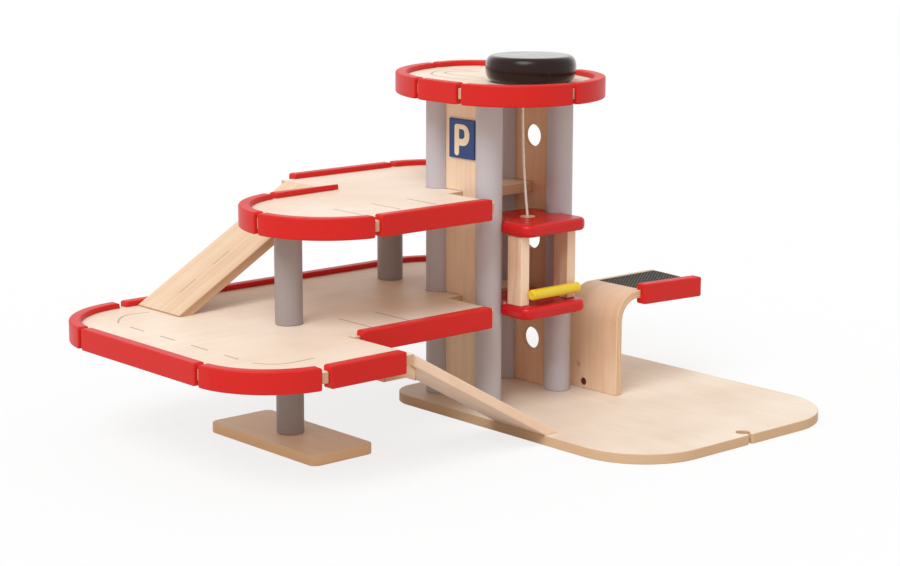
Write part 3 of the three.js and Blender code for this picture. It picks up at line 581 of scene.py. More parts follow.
def post(name, node, x, y, bottom, top, finish, groove=0):
    """Upright dowel; groove is 1 where its groove faces right and -1 where it faces left."""
    outline = circle(x, y, POST_RADIUS, POST_SIDES)
    if groove:
        half = PANEL_HALF + GAP
        turn = math.asin(half / POST_RADIUS)
        start = turn if groove > 0 else math.pi + turn
        outline = circle(x, y, POST_RADIUS, POST_SIDES, start, start + 2 * (math.pi - turn))
        floor_x = x + groove * GROOVE_FLOOR
        outline += [Vector((floor_x, y - groove * half)), Vector((floor_x, y + groove * half))]
    piece(name, board([outline], bottom + GAP, top - GAP, POST_EASE, clear=0.8), finish,
          "grey_paint", "garage", node, crease=FINE_CREASE)


for corner, (post_x, post_y) in POST_PLACES.items():
    post(f"dowel_{corner}", f"tower_post_{corner}", post_x, post_y, BOARD, ROOF - BOARD, tower_grey,
         1 if post_x < 0 else -1)
post("dowel_foot", "foot_post", FOOT_X, FOOT_Y, BOARD, LOWER - BOARD, leg_grey_painted_shade)
post("dowel_deck_front", "deck_post_front", FOOT_X, FOOT_Y, LOWER, UPPER - BOARD, leg_grey_painted_shade)
post("dowel_deck_left", "deck_post_left", DECK_POST_X, 0, LOWER, UPPER - BOARD, leg_grey_painted_shade)

# Screws and bolt: zinc plated, driven from below into the posts and into the bridge's nut. Each
# has a cross recess in a countersunk or flat head that lies just under the face of the board.
SCREW_SUNK, SCREW_HEAD, SCREW_SHANK, SCREW_LONG, SCREW_POINT = 1.0, 4.0, 1.9, 27.0, 3.0
BOLT_HEAD, BOLT_LONG, HEAD_DEEP = 3.6, 18.4, 2.4
RECESS_LONG, RECESS_WIDE, RECESS_DEEP = 4.2, 0.9, 1.3
TURNED_STEP, ON_AXIS = 0.5, 1e-6
SPOT_TONE = (0.05, 0.045, 0.04, 1)


def plated_steel(place, given):
    """Plated steel: turned lines, a faint yellow bloom and small dark spots."""
    lines = noise(vector("MULTIPLY", place, (900, 900, 5200)), 1, 3)
    bloom = remap(noise(place, 340, 3), 0.4, 0.7)
    spots = remap(noise(place, 1900, 1), 0.7, 0.8, 0, 0.5)
    shade = mix(bloom * 0.5, given["Metal"], given["Bloom"])
    shade = mix(spots, shade, SPOT_TONE)
    return shade, remap(lines, 0.2, 0.8, 0.26, 0.46), lines


STEEL = effect("plated steel", {"Metal": "Color", "Bloom": "Color"}, plated_steel)
zinc = surface("zinc steel", STEEL, {"Metal": (196, 197, 199), "Bloom": (184, 176, 150)}, 0.02,
               Metallic=1.0)


def turned(profile, place, sides=64, stand=Matrix.Identity(4)):
    """Mesh of a piece turned about its own Z from corners (radius, height, rounding). A profile
    that stays off the axis closes on itself."""
    bm = bmesh.new()
    rings = []
    for spot in rounded(profile, TURNED_STEP):
        ring = []
        for k in range(sides if spot.x > ON_AXIS else 1):
            bearing = 2 * math.pi * k / sides
            flat = Vector((spot.x * math.cos(bearing), spot.x * math.sin(bearing), spot.y, 1))
            ring.append(bm.verts.new(point(*(Vector(place) + (stand @ flat).to_3d()))))
        rings.append(ring)
    if min(len(ring) for ring in rings) > 1:
        rings.append(rings[0])
    skin(bm, rings)
    return bm


def cut(made, *tools):
    """Cuts tool meshes out of a piece and keeps the result in its mesh."""
    for tool in tools:
        bmesh.ops.recalc_face_normals(tool, faces=tool.faces)
        mesh = bpy.data.meshes.new("tool")
        tool.to_mesh(mesh)
        tool.free()
        cutter = bpy.data.objects.new("tool", mesh)
        bpy.context.scene.collection.objects.link(cutter)
        step = made.modifiers.new("cut", "BOOLEAN")
        step.object = cutter
        step.solver = "EXACT"
        made.modifiers.move(len(made.modifiers) - 1, 0)
        with bpy.context.temp_override(object=made, active_object=made, selected_objects=[made]):
            bpy.ops.object.modifier_apply(modifier=step.name)
        bpy.data.objects.remove(cutter)
    made.data.set_sharp_from_angle(angle=math.radians(FINE_CREASE))


def crate(left, right, front, back, low, high):
    """Plain block, only used to cut with."""
    bm = bmesh.new()
    spots = [bm.verts.new(point(x, y, z)) for z in (low, high)
             for x, y in ((left, front), (right, front), (right, back), (left, back))]
    for face in (
            (0, 1, 2, 3), (4, 5, 6, 7), (0, 1, 5, 4), (1, 2, 6, 5), (2, 3, 7, 6), (3, 0, 4, 7)):
        bm.faces.new([spots[i] for i in face])
    return bm


def fixing(name, node, x, y, profile):
    made = piece(name, turned(profile, (x, y, SCREW_SUNK), 40), zinc, "steel", "garage", node)
    long_half, wide_half = RECESS_LONG / 2, RECESS_WIDE / 2
    for run, width in ((long_half, wide_half), (wide_half, long_half)):
        cut(made, crate(x - run, x + run, y - width, y + width, 0, SCREW_SUNK + RECESS_DEEP))


screw_profile = [
    (0, 0, 0), (SCREW_HEAD, 0, 0.3), (SCREW_HEAD, 0.3, 0), (SCREW_SHANK, HEAD_DEEP, 0.4),
    (SCREW_SHANK, SCREW_LONG - SCREW_POINT, 0), (0, SCREW_LONG, 0)]
for corner, (post_x, post_y) in POST_PLACES.items():
    fixing(f"woodscrew_{corner}", f"screw_{corner}", post_x, post_y, screw_profile)
fixing("woodscrew_foot", "screw_foot", FOOT_X, FOOT_Y, screw_profile)
fixing("machine_bolt", "bridge_bolt", *BOLT_PLACE, [
    (0, 0, 0), (BOLT_HEAD - 0.2, 0, 0.5), (BOLT_HEAD, HEAD_DEEP, 0.2),
    (SCREW_SHANK, HEAD_DEEP, 0.2), (SCREW_SHANK, BOLT_LONG, 0.4), (0, BOLT_LONG, 0)])

# Decks and roof: birch plywood like the ground board. The decks have holes that the tower's left
# posts pass through, a tongue between the panels, and one corner open for the lift shaft.
DECK_LEFT, DECK_RIGHT, DECK_BACK, DECK_BACK_CORNER = -202.5, 37.0, 114.5, 64.5
TONGUE_RIGHT, SHAFT_EDGE, SHAFT_CORNER = -35.0, -20.0, 13.0
LOWER_FRONT, LOWER_RIGHT, LOWER_RAMP_EDGE = -359.0, 118.5, -193.0
UPPER_LEFT, UPPER_FRONT, UPPER_RAMP_EDGE = -119.5, -234.5, -88.0
SLIT_HALF, SLIT_OUT, SLIT_IN = 1.3, 5, 6
ROOF_LEFT, ROOF_RIGHT, ROOF_FRONT, ROOF_BACK = -153.5, 73.5, -42.5, 124
LOWER_CORNERS = [
    (DECK_LEFT, LOWER_FRONT, 77.5), (LOWER_RIGHT, LOWER_FRONT, 73),
    (LOWER_RIGHT, LOWER_RAMP_EDGE, 0), (DECK_RIGHT, LOWER_RAMP_EDGE, 0),
    (DECK_RIGHT, SHAFT_EDGE, SHAFT_CORNER), (TONGUE_RIGHT, SHAFT_EDGE, 0),
    (TONGUE_RIGHT, DECK_BACK, 0), (DECK_LEFT, DECK_BACK, DECK_BACK_CORNER),
]
UPPER_CORNERS = [
    (UPPER_LEFT, UPPER_FRONT, 84), (DECK_RIGHT, UPPER_FRONT, 71.5),
    (DECK_RIGHT, SHAFT_EDGE, SHAFT_CORNER), (TONGUE_RIGHT, SHAFT_EDGE, 0),
    (TONGUE_RIGHT, DECK_BACK, 0), (DECK_LEFT, DECK_BACK, DECK_BACK_CORNER),
    (DECK_LEFT, UPPER_RAMP_EDGE, 0), (UPPER_LEFT, UPPER_RAMP_EDGE, 0),
]
ROOF_CORNERS = [
    (ROOF_LEFT, ROOF_FRONT, 122.5), (ROOF_RIGHT, ROOF_FRONT, 68), (ROOF_RIGHT, ROOF_BACK, 92),
    (ROOF_LEFT, ROOF_BACK, 41.5)]
slit_corners = [
    (DECK_RIGHT + SLIT_OUT, LOWER_RAMP_EDGE, 0),
    (DECK_RIGHT + SLIT_OUT, LOWER_RAMP_EDGE - SLIT_HALF, 0),
    (DECK_RIGHT - SLIT_IN, LOWER_RAMP_EDGE - SLIT_HALF, 0),
    (DECK_RIGHT - SLIT_IN, LOWER_RAMP_EDGE + SLIT_HALF, 0),
    (DECK_RIGHT, LOWER_RAMP_EDGE + SLIT_HALF, 0),
]
lower_outline = rounded(LOWER_CORNERS[:3] + slit_corners + LOWER_CORNERS[4:])
post_holes = [hole(x, y, POST_RADIUS + GAP, 48) for x, y in POST_PLACES.values() if x < 0]
DECK_EASE, TAB_EASE, TAB_SHY = 0.5, 0.4, 0.05
AXLE_HOLE, CORD_HOLE = 2.1, 1.8
JOINT, FREE_END, TAB_OUT, TAB_IN, TAB_CLEAR = 4.5, 3.4, 2.5, 3.0, 0.35
LOWER_JOINTS = {0.0775: JOINT, 0.1961: JOINT, 0.2703: 7.6, 0.7776: JOINT, 0.9963: 6.6}
UPPER_JOINTS = {0.0118: JOINT, 0.1195: JOINT, 0.2238: 6.0, 0.7367: JOINT}
ROOF_JOINTS = {0.0214: JOINT, 0.269: JOINT, 0.3595: 5.6, 0.5295: JOINT, 0.747: 8.0}


def walk(corners):
    """Way along an outline: its points, how far each lies from the start, and a place finder."""
    points = rounded(corners)
    count = len(points)
    reach = [0.0]
    for i in range(count):
        reach.append(reach[-1] + (points[(i + 1) % count] - points[i]).length)

    def at(distance):
        lap = distance % reach[-1]
        i = max(k for k in range(count) if reach[k] <= lap)
        run = (points[(i + 1) % count] - points[i]).normalized()
        return points[i] + run * (lap - reach[i]), Vector((run.y, -run.x))

    return points, reach, at


def add_tabs(bm, corners, joints, level):
    """Short tabs of the board that come out between the ends of its rails."""
    _, reach, at = walk(corners)
    for share, width in joints.items():
        half = width / 2 - TAB_CLEAR
        near, _ = at(share * reach[-1] - half)
        far, _ = at(share * reach[-1] + half)
        _, way = at(share * reach[-1])
        spots = (near - way * TAB_IN, near + way * TAB_OUT, far + way * TAB_OUT, far - way * TAB_IN)
        tab = board([list(spots)], level - BOARD + TAB_SHY, level - TAB_SHY, TAB_EASE, clear=0.5)
        mesh = bpy.data.meshes.new("tab")
        tab.to_mesh(mesh)
        tab.free()
        bm.from_mesh(mesh)
        bpy.data.meshes.remove(mesh)


def deck_board(name, node, outline, holes, level, grain, corners, joints):
    ply = plywood(f"{name} plywood", (245, 232, 217), (222, 191, 160), BIRCH_EDGE, grain,
                  level - BOARD, BOARD, figure=0.34, clouds=1.0)
    bm = board([outline] + holes, level - BOARD, level, DECK_EASE)
    add_tabs(bm, corners, joints, level)
    piece(name, bm, ply, "pale_ply", "garage", node)


deck_board("deck_lower", "lower_deck", lower_outline, post_holes, LOWER, GRAIN_Y, LOWER_CORNERS,
           LOWER_JOINTS)
deck_board("deck_upper", "upper_deck", rounded(UPPER_CORNERS), post_holes, UPPER, GRAIN_Y,
           UPPER_CORNERS, UPPER_JOINTS)
roof_holes = [
    hole(LIFT_X, LIFT_Y, AXLE_HOLE, 16), hole(cord_end.x, cord_end.y, CORD_HOLE, 16)]
deck_board("roof_plate", "roof_board", rounded(ROOF_CORNERS), roof_holes, ROOF, GRAIN_X,
           ROOF_CORNERS, ROOF_JOINTS)

# Rails: strips of wood steamed to the boards' curves, grooved along the inside, glued on to the
# board's edge with small gaps between them, and sprayed in satin red.
RAIL_HALF, RAIL_OUT, RAIL_IN, RAIL_SOFT, RAIL_LIP = 9.9, 5.5, 5.0, 1.6, 0.5
RAIL_END, RAIL_NOSE, RAIL_CLEAR, HAIR = 1.4, 3.0, 1.0, 0.01
END_STEPS = (0.0, 0.15, 0.5, 1.0, 1.4, 2.1, 3.0)


def fall(distance, radius):
    """How far a rounded end has fallen back at a distance from its tip."""
    return radius - math.sqrt(radius ** 2 - (radius - distance) ** 2) if distance < radius else 0.0


def run_along(corners, start, end, joints):
    """Places along an outline from one share of its length to another, each with its outward
    direction and its distance from the nearer end."""
    points, reach, at = walk(corners)
    ways = outward(points)
    total = reach[-1]
    first = start * total + joints.get(round(start % 1, 4), FREE_END) / 2
    last = end * total - joints.get(round(end % 1, 4), FREE_END) / 2
    clear = END_STEPS[-1] + RAIL_CLEAR
    inner = [(points[i], ways[i], clear) for lap in range(2) for i in range(len(points))
             if first + clear < lap * total + reach[i] < last - clear]
    head = [(*at(first + step), step) for step in END_STEPS]
    tail = [(*at(last - step), step) for step in reversed(END_STEPS)]
    return head + inner + tail


def rail(name, node, corners, start, end, level, thick, material, joints):
    """One grooved strip round a board from one share of its outline to another."""
    groove = thick / 2 + GAP
    section = rounded([
        (RAIL_OUT, -RAIL_HALF, RAIL_SOFT), (RAIL_OUT, RAIL_HALF, RAIL_SOFT),
        (-RAIL_IN, RAIL_HALF, RAIL_SOFT), (-RAIL_IN, groove, RAIL_LIP), (GAP, groove, 0),
        (GAP, -groove, 0), (-RAIL_IN, -groove, RAIL_LIP), (-RAIL_IN, -RAIL_HALF, RAIL_SOFT),
    ])
    section_ways = outward(section)
    bm = bmesh.new()
    rim = bm.verts.layers.float.new("rim")
    rings = []
    for place, way, from_end in run_along(corners, start, end, joints):
        inset, top = fall(from_end, RAIL_END), RAIL_HALF - fall(from_end, RAIL_NOSE)
        ring = []
        for spot, away in zip(section, section_ways):
            in_groove = abs(spot.y) <= groove + HAIR
            moved = spot if in_groove else spot - away * inset
            flat = place + way * moved.x
            height = max(-top, min(top, moved.y))
            vert = bm.verts.new(point(flat.x, flat.y, level - thick / 2 + height))
            on_round = abs(spot.y) > RAIL_HALF - RAIL_SOFT + HAIR and (
                spot.x > RAIL_OUT - RAIL_SOFT + HAIR or spot.x < RAIL_SOFT - RAIL_IN - HAIR)
            vert[rim] = float(on_round or from_end < RAIL_END)
            ring.append(vert)
        rings.append(ring)
    skin(bm, rings)
    bm.faces.new(rings[0])
    bm.faces.new(rings[-1])
    return piece(name, bm, material, "red_paint", "garage", node, crease=34)


red_paint = paint("red paint", (208, 33, 29), (216, 54, 47), GRAIN_Z, 0.38, Specular_IOR_Level=0.2)
LOWER_RAILS = {
    "front_left": (0.9963, 1.0775), "front": (0.0775, 0.1961), "front_right": (0.1961, 0.2703),
    "right": (0.2703, 0.3283), "inner": (0.3939, 0.4983), "back_left": (0.644, 0.7776),
    "left": (0.7776, 0.9963),
}
UPPER_RAILS = {
    "front_left": (0.0118, 0.1195), "front_right": (0.1195, 0.2238), "right": (0.2238, 0.3494),
    "back_left": (0.5517, 0.7367), "left": (0.7367, 0.8547), "inner": (0.9368, 1.0118),
}
ROOF_RAILS = {
    "front": (0.269, 0.3595), "right": (0.3595, 0.5295), "back": (0.5295, 0.747),
    "back_left": (0.747, 1.0214), "left": (0.0214, 0.269),
}
for storey, corners, level, shares, joints in (
    ("lower", LOWER_CORNERS, LOWER, LOWER_RAILS, LOWER_JOINTS),
    ("upper", UPPER_CORNERS, UPPER, UPPER_RAILS, UPPER_JOINTS),
    ("roof", ROOF_CORNERS, ROOF, ROOF_RAILS, ROOF_JOINTS),
):
    for spot, (start, end) in shares.items():
        rail(f"rail_{storey}_{spot}", f"{storey}_rail_{spot}", corners, start, end, level, BOARD,
             red_paint, joints)

# Tower panels: thin plywood with upright grain, slid down the posts' grooves and notched round
# the decks' tongues. The back one has a round window on each storey.
PANEL_LEFT, PANEL_RIGHT = -62.8, -7.5
PANEL_BOTTOM, PANEL_TOP = 9.9, 303.5
NOTCH_RIGHT, PANEL_EASE = -34.7, 0.35
WINDOW_X, WINDOW_RADIUS, WINDOW_LOW, STOREY = -35.15, 10.75, 55.0, 100.1
UPRIGHT = Matrix(((1, 0, 0, 0), (0, 0, -1, 0), (0, 1, 0, 0), (0, 0, 0, 1)))


def panel(name, node, y, windows, pale, dark):
    corners = [(PANEL_LEFT, PANEL_BOTTOM, 0), (PANEL_RIGHT, PANEL_BOTTOM, 0),
               (PANEL_RIGHT, PANEL_TOP, 0), (PANEL_LEFT, PANEL_TOP, 0)]
    for level in (UPPER, LOWER):
        top, bottom = level + GAP, level - BOARD - GAP
        corners += [(PANEL_LEFT, top, 0), (NOTCH_RIGHT, top, 0), (NOTCH_RIGHT, bottom, 0),
                    (PANEL_LEFT, bottom, 0)]
    loops = [rounded(corners)] + [hole(WINDOW_X, z, WINDOW_RADIUS, 56) for z in windows]
    ply = plywood(f"{name} plywood", pale, dark, (206, 160, 112), GRAIN_Z, y - PANEL_HALF,
                  2 * PANEL_HALF, 3, (0, 1, 0), 0.6)
    piece(name, board(loops, -y - PANEL_HALF, -y + PANEL_HALF, PANEL_EASE, UPRIGHT, 0.7), ply,
          "beech", "garage", node)


panel("panel_front", "front_panel", 0, [], (248, 226, 202), (222, 180, 140))
# The back panel's colours are darker and more orange than the front panel's, for the same wood:
# painted shade inside the lift shaft.
panel("panel_back", "back_panel", TOWER_LONG,
      [WINDOW_LOW + STOREY * storey for storey in range(3)], (238, 198, 162), (200, 148, 108))

# Parking sign: a thin blue card glued on the front panel, with the letter of a parking place left
# in bare pale wood colour.
SIGN_LEFT, SIGN_RIGHT, SIGN_LOW, SIGN_HIGH = -51.6, -16.4, 241.2, 278.4
SIGN_FACE, SIGN_BACK, LETTER_SUNK, LETTER_PROUD = 3.8, 2.3, 0.2, 0.15
STEM_LEFT, STEM_RIGHT, BOWL_RIGHT, EYE_RIGHT = -44, -37.6, -23.3, -30
STEM_LOW, BOWL_LOW, EYE_LOW, EYE_HIGH, LETTER_HIGH = 243.6, 253.2, 259.7, 268.8, 273.3
sign_blue = paint("sign blue", (20, 60, 124), (40, 82, 142), GRAIN_Z, 0.38, 0.02)
sign_outline = rounded(rectangle(SIGN_LEFT, SIGN_RIGHT, SIGN_LOW, SIGN_HIGH, 0.8))
piece("sign_plate", board([sign_outline], SIGN_BACK, SIGN_FACE, 0.25, UPRIGHT, 0.8), sign_blue,
      "sign", "garage", "parking_sign")
letter_wood = solid_wood("letter wood", (250, 238, 212), (232, 208, 176), (236, 214, 184),
                         GRAIN_Z, stack=(0, 1, 0))
letter_outline = rounded([
    (STEM_LEFT, STEM_LOW, 3), (STEM_RIGHT, STEM_LOW, 3), (STEM_RIGHT, BOWL_LOW, 0),
    (BOWL_RIGHT, BOWL_LOW, 9), (BOWL_RIGHT, LETTER_HIGH, 9), (STEM_LEFT, LETTER_HIGH, 3)])
letter_eye = rounded([
    (STEM_RIGHT, EYE_LOW, 0.5), (EYE_RIGHT, EYE_LOW, 3.5), (EYE_RIGHT, EYE_HIGH, 3.5),
    (STEM_RIGHT, EYE_HIGH, 0.5)])[::-1]
piece("sign_letter", board(
    [letter_outline, letter_eye], SIGN_FACE - LETTER_SUNK, SIGN_FACE + LETTER_PROUD, 0.08,
    UPRIGHT, 0.4), letter_wood, "sign", "garage")

# Ramps and cleats: the ramps are planed from solid pale wood to a thin nose. Each hangs on a
# bevelled cleat that is glued under the edge of the deck above it.
RAMP_HALF, RAMP_RUN, RAMP_THICK, RAMP_NOSE, RAMP_EASE = 33.5, 172.3, 9.2, 1.4, 1.5
RAMP_ASIDE, PLANK_START, PLANK_END = 5.0, -15.0, 1.3 * RAMP_RUN
CLEAT_HALF, CLEAT_LONG, CLEAT_NOSE, CLEAT_THICK = 29.3, 28.0, 8.0, 11.6
RAMP_SLOPE = (STOREY - RAMP_NOSE) / RAMP_RUN
RAMP_DROP = RAMP_THICK * math.hypot(1, RAMP_SLOPE)


def under_ramp(along):
    return STOREY - RAMP_DROP - RAMP_SLOPE * along


def sideways(x, y, z, ahead=1):
    """Turns a profile of run and height into a piece that lies along X, running back or forward."""
    return Matrix(((0, 0, ahead, x), (ahead, 0, 0, y), (0, 1, 0, z), (0, 0, 0, 1)))


def plank(stand, slope):
    """Ramp: a plank with eased edges, cut upright against the deck and level on the floor."""
    bm = bmesh.new()
    rim = bm.verts.layers.float.new("rim")
    section = rounded(rectangle(-RAMP_HALF, RAMP_HALF, -RAMP_THICK, 0, RAMP_EASE), 0.4)
    along = Vector((math.cos(slope), -math.sin(slope)))
    up = Vector((math.sin(slope), math.cos(slope)))
    rings = []
    for run in (PLANK_START, PLANK_END):
        ring = []
        for spot in section:
            flat = Vector((0, STOREY)) + along * run + up * spot.y
            vert = bm.verts.new(point(*(stand @ Vector((flat.x, flat.y, spot.x)))))
            vert[rim] = float(abs(spot.x) > RAMP_HALF - RAMP_EASE + HAIR)
            ring.append(vert)
        rings.append(ring)
    skin(bm, rings)
    bm.faces.new(rings[0])
    bm.faces.new(rings[1])
    for spot, way in (((GAP, 0), (-1, 0)), ((0, GAP), (0, -1)), ((RAMP_RUN, 0), (1, 0))):
        origin = point(*(stand @ Vector((*spot, 0))))
        normal = stand.to_3x3() @ Vector((*way, 0))
        whole = bm.verts[:] + bm.edges[:] + bm.faces[:]
        made = bmesh.ops.bisect_plane(
            bm, geom=whole, plane_co=origin, plane_no=normal, clear_outer=True)
        rim_edges = [g for g in made["geom_cut"] if isinstance(g, bmesh.types.BMEdge)]
        bmesh.ops.holes_fill(bm, edges=rim_edges, sides=0)
    return bm


def ramp_and_cleat(storey, x, y, z, ahead, pale, dark):
    """Ramp, with the cleat under its top; ahead is 1 where the ramp runs to the back."""
    stand = sideways(x, y, z, ahead)
    slope = math.atan(RAMP_SLOPE)
    up = Vector((0, RAMP_SLOPE * ahead, 1)).normalized()
    wood = solid_wood(f"{storey} ramp wood", pale, dark, pale, (1100, 20, 1100), stack=up,
                      figure=0.8, turn=slope * ahead)
    piece(f"ramp_{storey}", plank(stand, slope), wood, "beech", "garage", f"{storey}_ramp")
    top = STOREY - BOARD - GAP
    low = top - CLEAT_THICK
    profile = rounded([
        (-CLEAT_LONG, top, 0), (-CLEAT_LONG, low, 0.6), (0, low, 0.6),
        (CLEAT_NOSE, low - RAMP_SLOPE * CLEAT_NOSE, 0.4),
        (CLEAT_NOSE, under_ramp(CLEAT_NOSE) - GAP, 0.3), (GAP, under_ramp(GAP) - GAP, 0),
        (0, top, 0)])
    piece(f"cleat_{storey}", board([profile], -CLEAT_HALF, CLEAT_HALF, 0.5, stand, 0.5), wood,
          "beech", "garage", f"{storey}_cleat")


# The lower ramp gets lighter colours than the upper ramp of the same wood: painted light on its
# shaded side.
ramp_and_cleat("lower", (DECK_RIGHT + LOWER_RIGHT) / 2 + RAMP_ASIDE, LOWER_RAMP_EDGE, BOARD, 1,
               (248, 222, 198), (222, 180, 144))
upper_ramp_x = DECK_LEFT + RAMP_ASIDE + GAP + RAMP_HALF
ramp_and_cleat("upper", upper_ramp_x, UPPER_RAMP_EDGE, LOWER, -1,
               (232, 208, 180), (206, 166, 130))

# Bridge: four thick veneers glued in a bend, so its edge shows lines that follow the curve. Its
# leg is bolted to the ground board, and a hole and a round nut show in the leg.
BRIDGE_LEFT, BRIDGE_RIGHT, BRIDGE_FRONT, BRIDGE_BACK = -6.5, 58.5, 113.0, 228.0
BRIDGE_THICK, BRIDGE_PLIES, BEND = 7.8, 4, 28.0
BRIDGE_EASE, BRIDGE_CUTS, DROOP, DROOP_START = 0.7, 8, 0.035, 12.0
BEND_Y, BEND_Z = BRIDGE_FRONT + BEND, LOWER - BEND
MAT_RIGHT, MAT_BACK, MAT_WIDE, MAT_LONG, MAT_SUNK, MAT_THICK = 52.5, 226.0, 53.0, 77.5, 1.0, 1.3
MAT_CUTS, MAT_ROOM = 10, 5.0
NUT_X, NUT_Z, NUT_RADIUS, NUT_BORE, NUT_BORE_DEEP = 15.0, 16.2, 3.5, 1.7, 1.2
BRIDGE_HOLE = (7.5, 32.0, 2.8)


def axes(place):
    """The three numbers of a vector that changes over a surface."""
    parted = put(place.tree, "ShaderNodeSeparateXYZ", {0: place})
    return [Field(socket) for socket in parted.outputs]


def lay_bent(place, given):
    """Bent sheet: its grain follows the leg up, round the bend and along the drooping top."""
    bend_y, bend_z = point(0, BEND_Y, BEND_Z)[1:]
    x, y, z = axes(place)
    beyond = calc("MAXIMUM", y - bend_y, 0.0)
    twist = remap(x, *bridge_sides) ** 2.0
    level = z + beyond * beyond * DROOP / (beyond + DROOP_START * MM) * twist
    ahead = calc("MAXIMUM", bend_y - y, 0.0)
    above = calc("MAXIMUM", level - bend_z, 0.0)
    inside = BEND * MM - calc("SQRT", ahead * ahead + above * above)
    turn = calc("ARCTAN2", above, ahead) * (BEND * MM)
    run = calc("MINIMUM", level, bend_z) + beyond + turn
    laid = join("ShaderNodeCombineXYZ", {0: x, 1: inside, 2: run})
    side = remap(abs(axes(facing(place))[0]), 0.55, 0.85)
    return laid, inside * vector("LENGTH", given["Stack"]), side


bridge_sides = [point(x, 0, 0).x for x in (BRIDGE_LEFT, BRIDGE_RIGHT)]
BENT_PLY = wood_effect("bent plywood", lay_bent)
bent_ply = surface("bridge plywood", BENT_PLY, {
    "Pale": (242, 214, 186), "Dark": (210, 164, 126), "Edge": (240, 212, 178),
    "Grain": (420, 420, 11), "Figure": 0.7, "Clouds": 0.5, "Glue": 1.0,
    "Stack": (0, 0, BRIDGE_PLIES / (BRIDGE_THICK * MM)),
}, 0.04, Specular_IOR_Level=0.35)
inner_bend = BEND - BRIDGE_THICK
bridge_profile = [
    Vector((BRIDGE_FRONT + BRIDGE_THICK, BOARD + GAP)),
    *circle(BEND_Y, BEND_Z, inner_bend, 24, math.pi, math.pi / 2),
    Vector((BRIDGE_BACK, LOWER - BRIDGE_THICK)), Vector((BRIDGE_BACK, LOWER)),
    *circle(BEND_Y, BEND_Z, BEND, 30, math.pi / 2, math.pi),
    Vector((BRIDGE_FRONT, BOARD + GAP)),
]


def score(bm, start, end, parts):
    """Cuts a mesh into squares between two corners, so that it can droop in a smooth curve."""
    for share in range(1, parts):
        for axis in (1, 0):
            spot, way = [0, 0, 0], [0, 0, 0]
            spot[axis], way[axis] = start[axis] + (end[axis] - start[axis]) * share / parts, 1
            bmesh.ops.bisect_plane(bm, geom=bm.verts[:] + bm.edges[:] + bm.faces[:],
                                   plane_co=point(*spot), plane_no=way)


def sag(made):
    """Lets a piece of the bridge drop a little towards its free right corner."""
    bend = point(0, BEND_Y, 0).y
    left, right = bridge_sides
    for vert in made.data.vertices:
        beyond = max(0.0, vert.co.y - bend)
        twist = min(1.0, max(0.0, (vert.co.x - left) / (right - left))) ** 2
        vert.co.z -= DROOP * twist * beyond ** 2 / (beyond + DROOP_START * MM)


bridge = piece("bent_bridge", board(
    [bridge_profile], BRIDGE_LEFT, BRIDGE_RIGHT, BRIDGE_EASE, sideways(0, 0, 0), 0.9),
    bent_ply, "pale_ply", "garage", "bridge")
ACROSS = Matrix.Rotation(-math.pi / 2, 4, "X")
nut_y = BRIDGE_FRONT + BRIDGE_THICK / 2


def across_leg(x, z, radius):
    half = BRIDGE_THICK
    return turned([(0, -half, 0), (radius, -half, 0), (radius, half, 0), (0, half, 0)],
                  (x, nut_y, z), 48, ACROSS)


cut(bridge, across_leg(*BRIDGE_HOLE), across_leg(NUT_X, NUT_Z, NUT_RADIUS + GAP),
    crate(MAT_RIGHT - MAT_WIDE - GAP, MAT_RIGHT + GAP, MAT_BACK - MAT_LONG - GAP, MAT_BACK + GAP,
          LOWER - MAT_SUNK - GAP, LOWER + MAT_ROOM))
scored = bmesh.new()
scored.from_mesh(bridge.data)
score(scored, (BRIDGE_LEFT, BEND_Y), (BRIDGE_RIGHT, BRIDGE_BACK), BRIDGE_CUTS)
scored.to_mesh(bridge.data)
scored.free()
sag(bridge)
bridge_corners = rectangle(BRIDGE_LEFT, BRIDGE_RIGHT, BEND_Y, BRIDGE_BACK, 0)
bridge_run = 2 * (BRIDGE_RIGHT - BRIDGE_LEFT + BRIDGE_BACK - BEND_Y)
RAIL_FRONT_Y, RAIL_BACK_Y = 143.2, 228.4
rail_start, rail_end = (
    (BRIDGE_RIGHT - BRIDGE_LEFT + y - BEND_Y) / bridge_run for y in (RAIL_FRONT_Y, RAIL_BACK_Y))
sag(rail("rail_bridge", "bridge_rail", bridge_corners, rail_start, rail_end,
         LOWER, BRIDGE_THICK, red_paint, {}))

browned = surface("browned steel", STEEL, {
    "Metal": (128, 56, 40), "Bloom": (92, 38, 28)}, 0.03, Metallic=0.35)
nut_half = (BRIDGE_THICK - GAP) / 2
piece("barrel_nut", turned([
    (0, NUT_BORE_DEEP - nut_half, 0), (NUT_BORE, NUT_BORE_DEEP - nut_half, 0),
    (NUT_BORE, -nut_half, 0.2), (NUT_RADIUS, -nut_half, 0.5), (NUT_RADIUS, nut_half, 0.5),
    (0, nut_half, 0)], (NUT_X, nut_y, NUT_Z), 48, ACROSS),
    browned, "dark_steel", "garage", "bridge_nut")

# Mat: a dark non-slip pad of coarse flat weave in two greys, the lighter one laid on the crowns as
# a painted sheen, cut square and glued in a shallow recess on top of the bridge. It droops with the
# bridge.
WEFT, WARP, SHIFT, WOBBLE = 1.4, 4.6, 0.4, 0.6


def flat_weave(place, given):
    """Flat weave: slanting floats of two greys in rows; the crowns of the floats turn to the
    lighter grey, a painted sheen, and are less rough.
    """
    x, y, _ = axes(place)
    row = x / (WEFT * MM) + noise(place, 200) * WOBBLE
    run = y / (WARP * MM) + calc("FLOOR", row) * SHIFT
    crown, float_end = (calc("SINE", calc("FRACT", lane) * math.pi) for lane in (row, run))
    height = crown * float_end ** 0.5
    # share lays the lighter grey on the highest crowns: painted sheen.
    share = remap(height + noise(place, 2600) * 0.3, 0.75, 1.15)
    return mix(share, given["Thread"], given["Float"]), remap(height, 0, 1, 0.95, 0.72), height


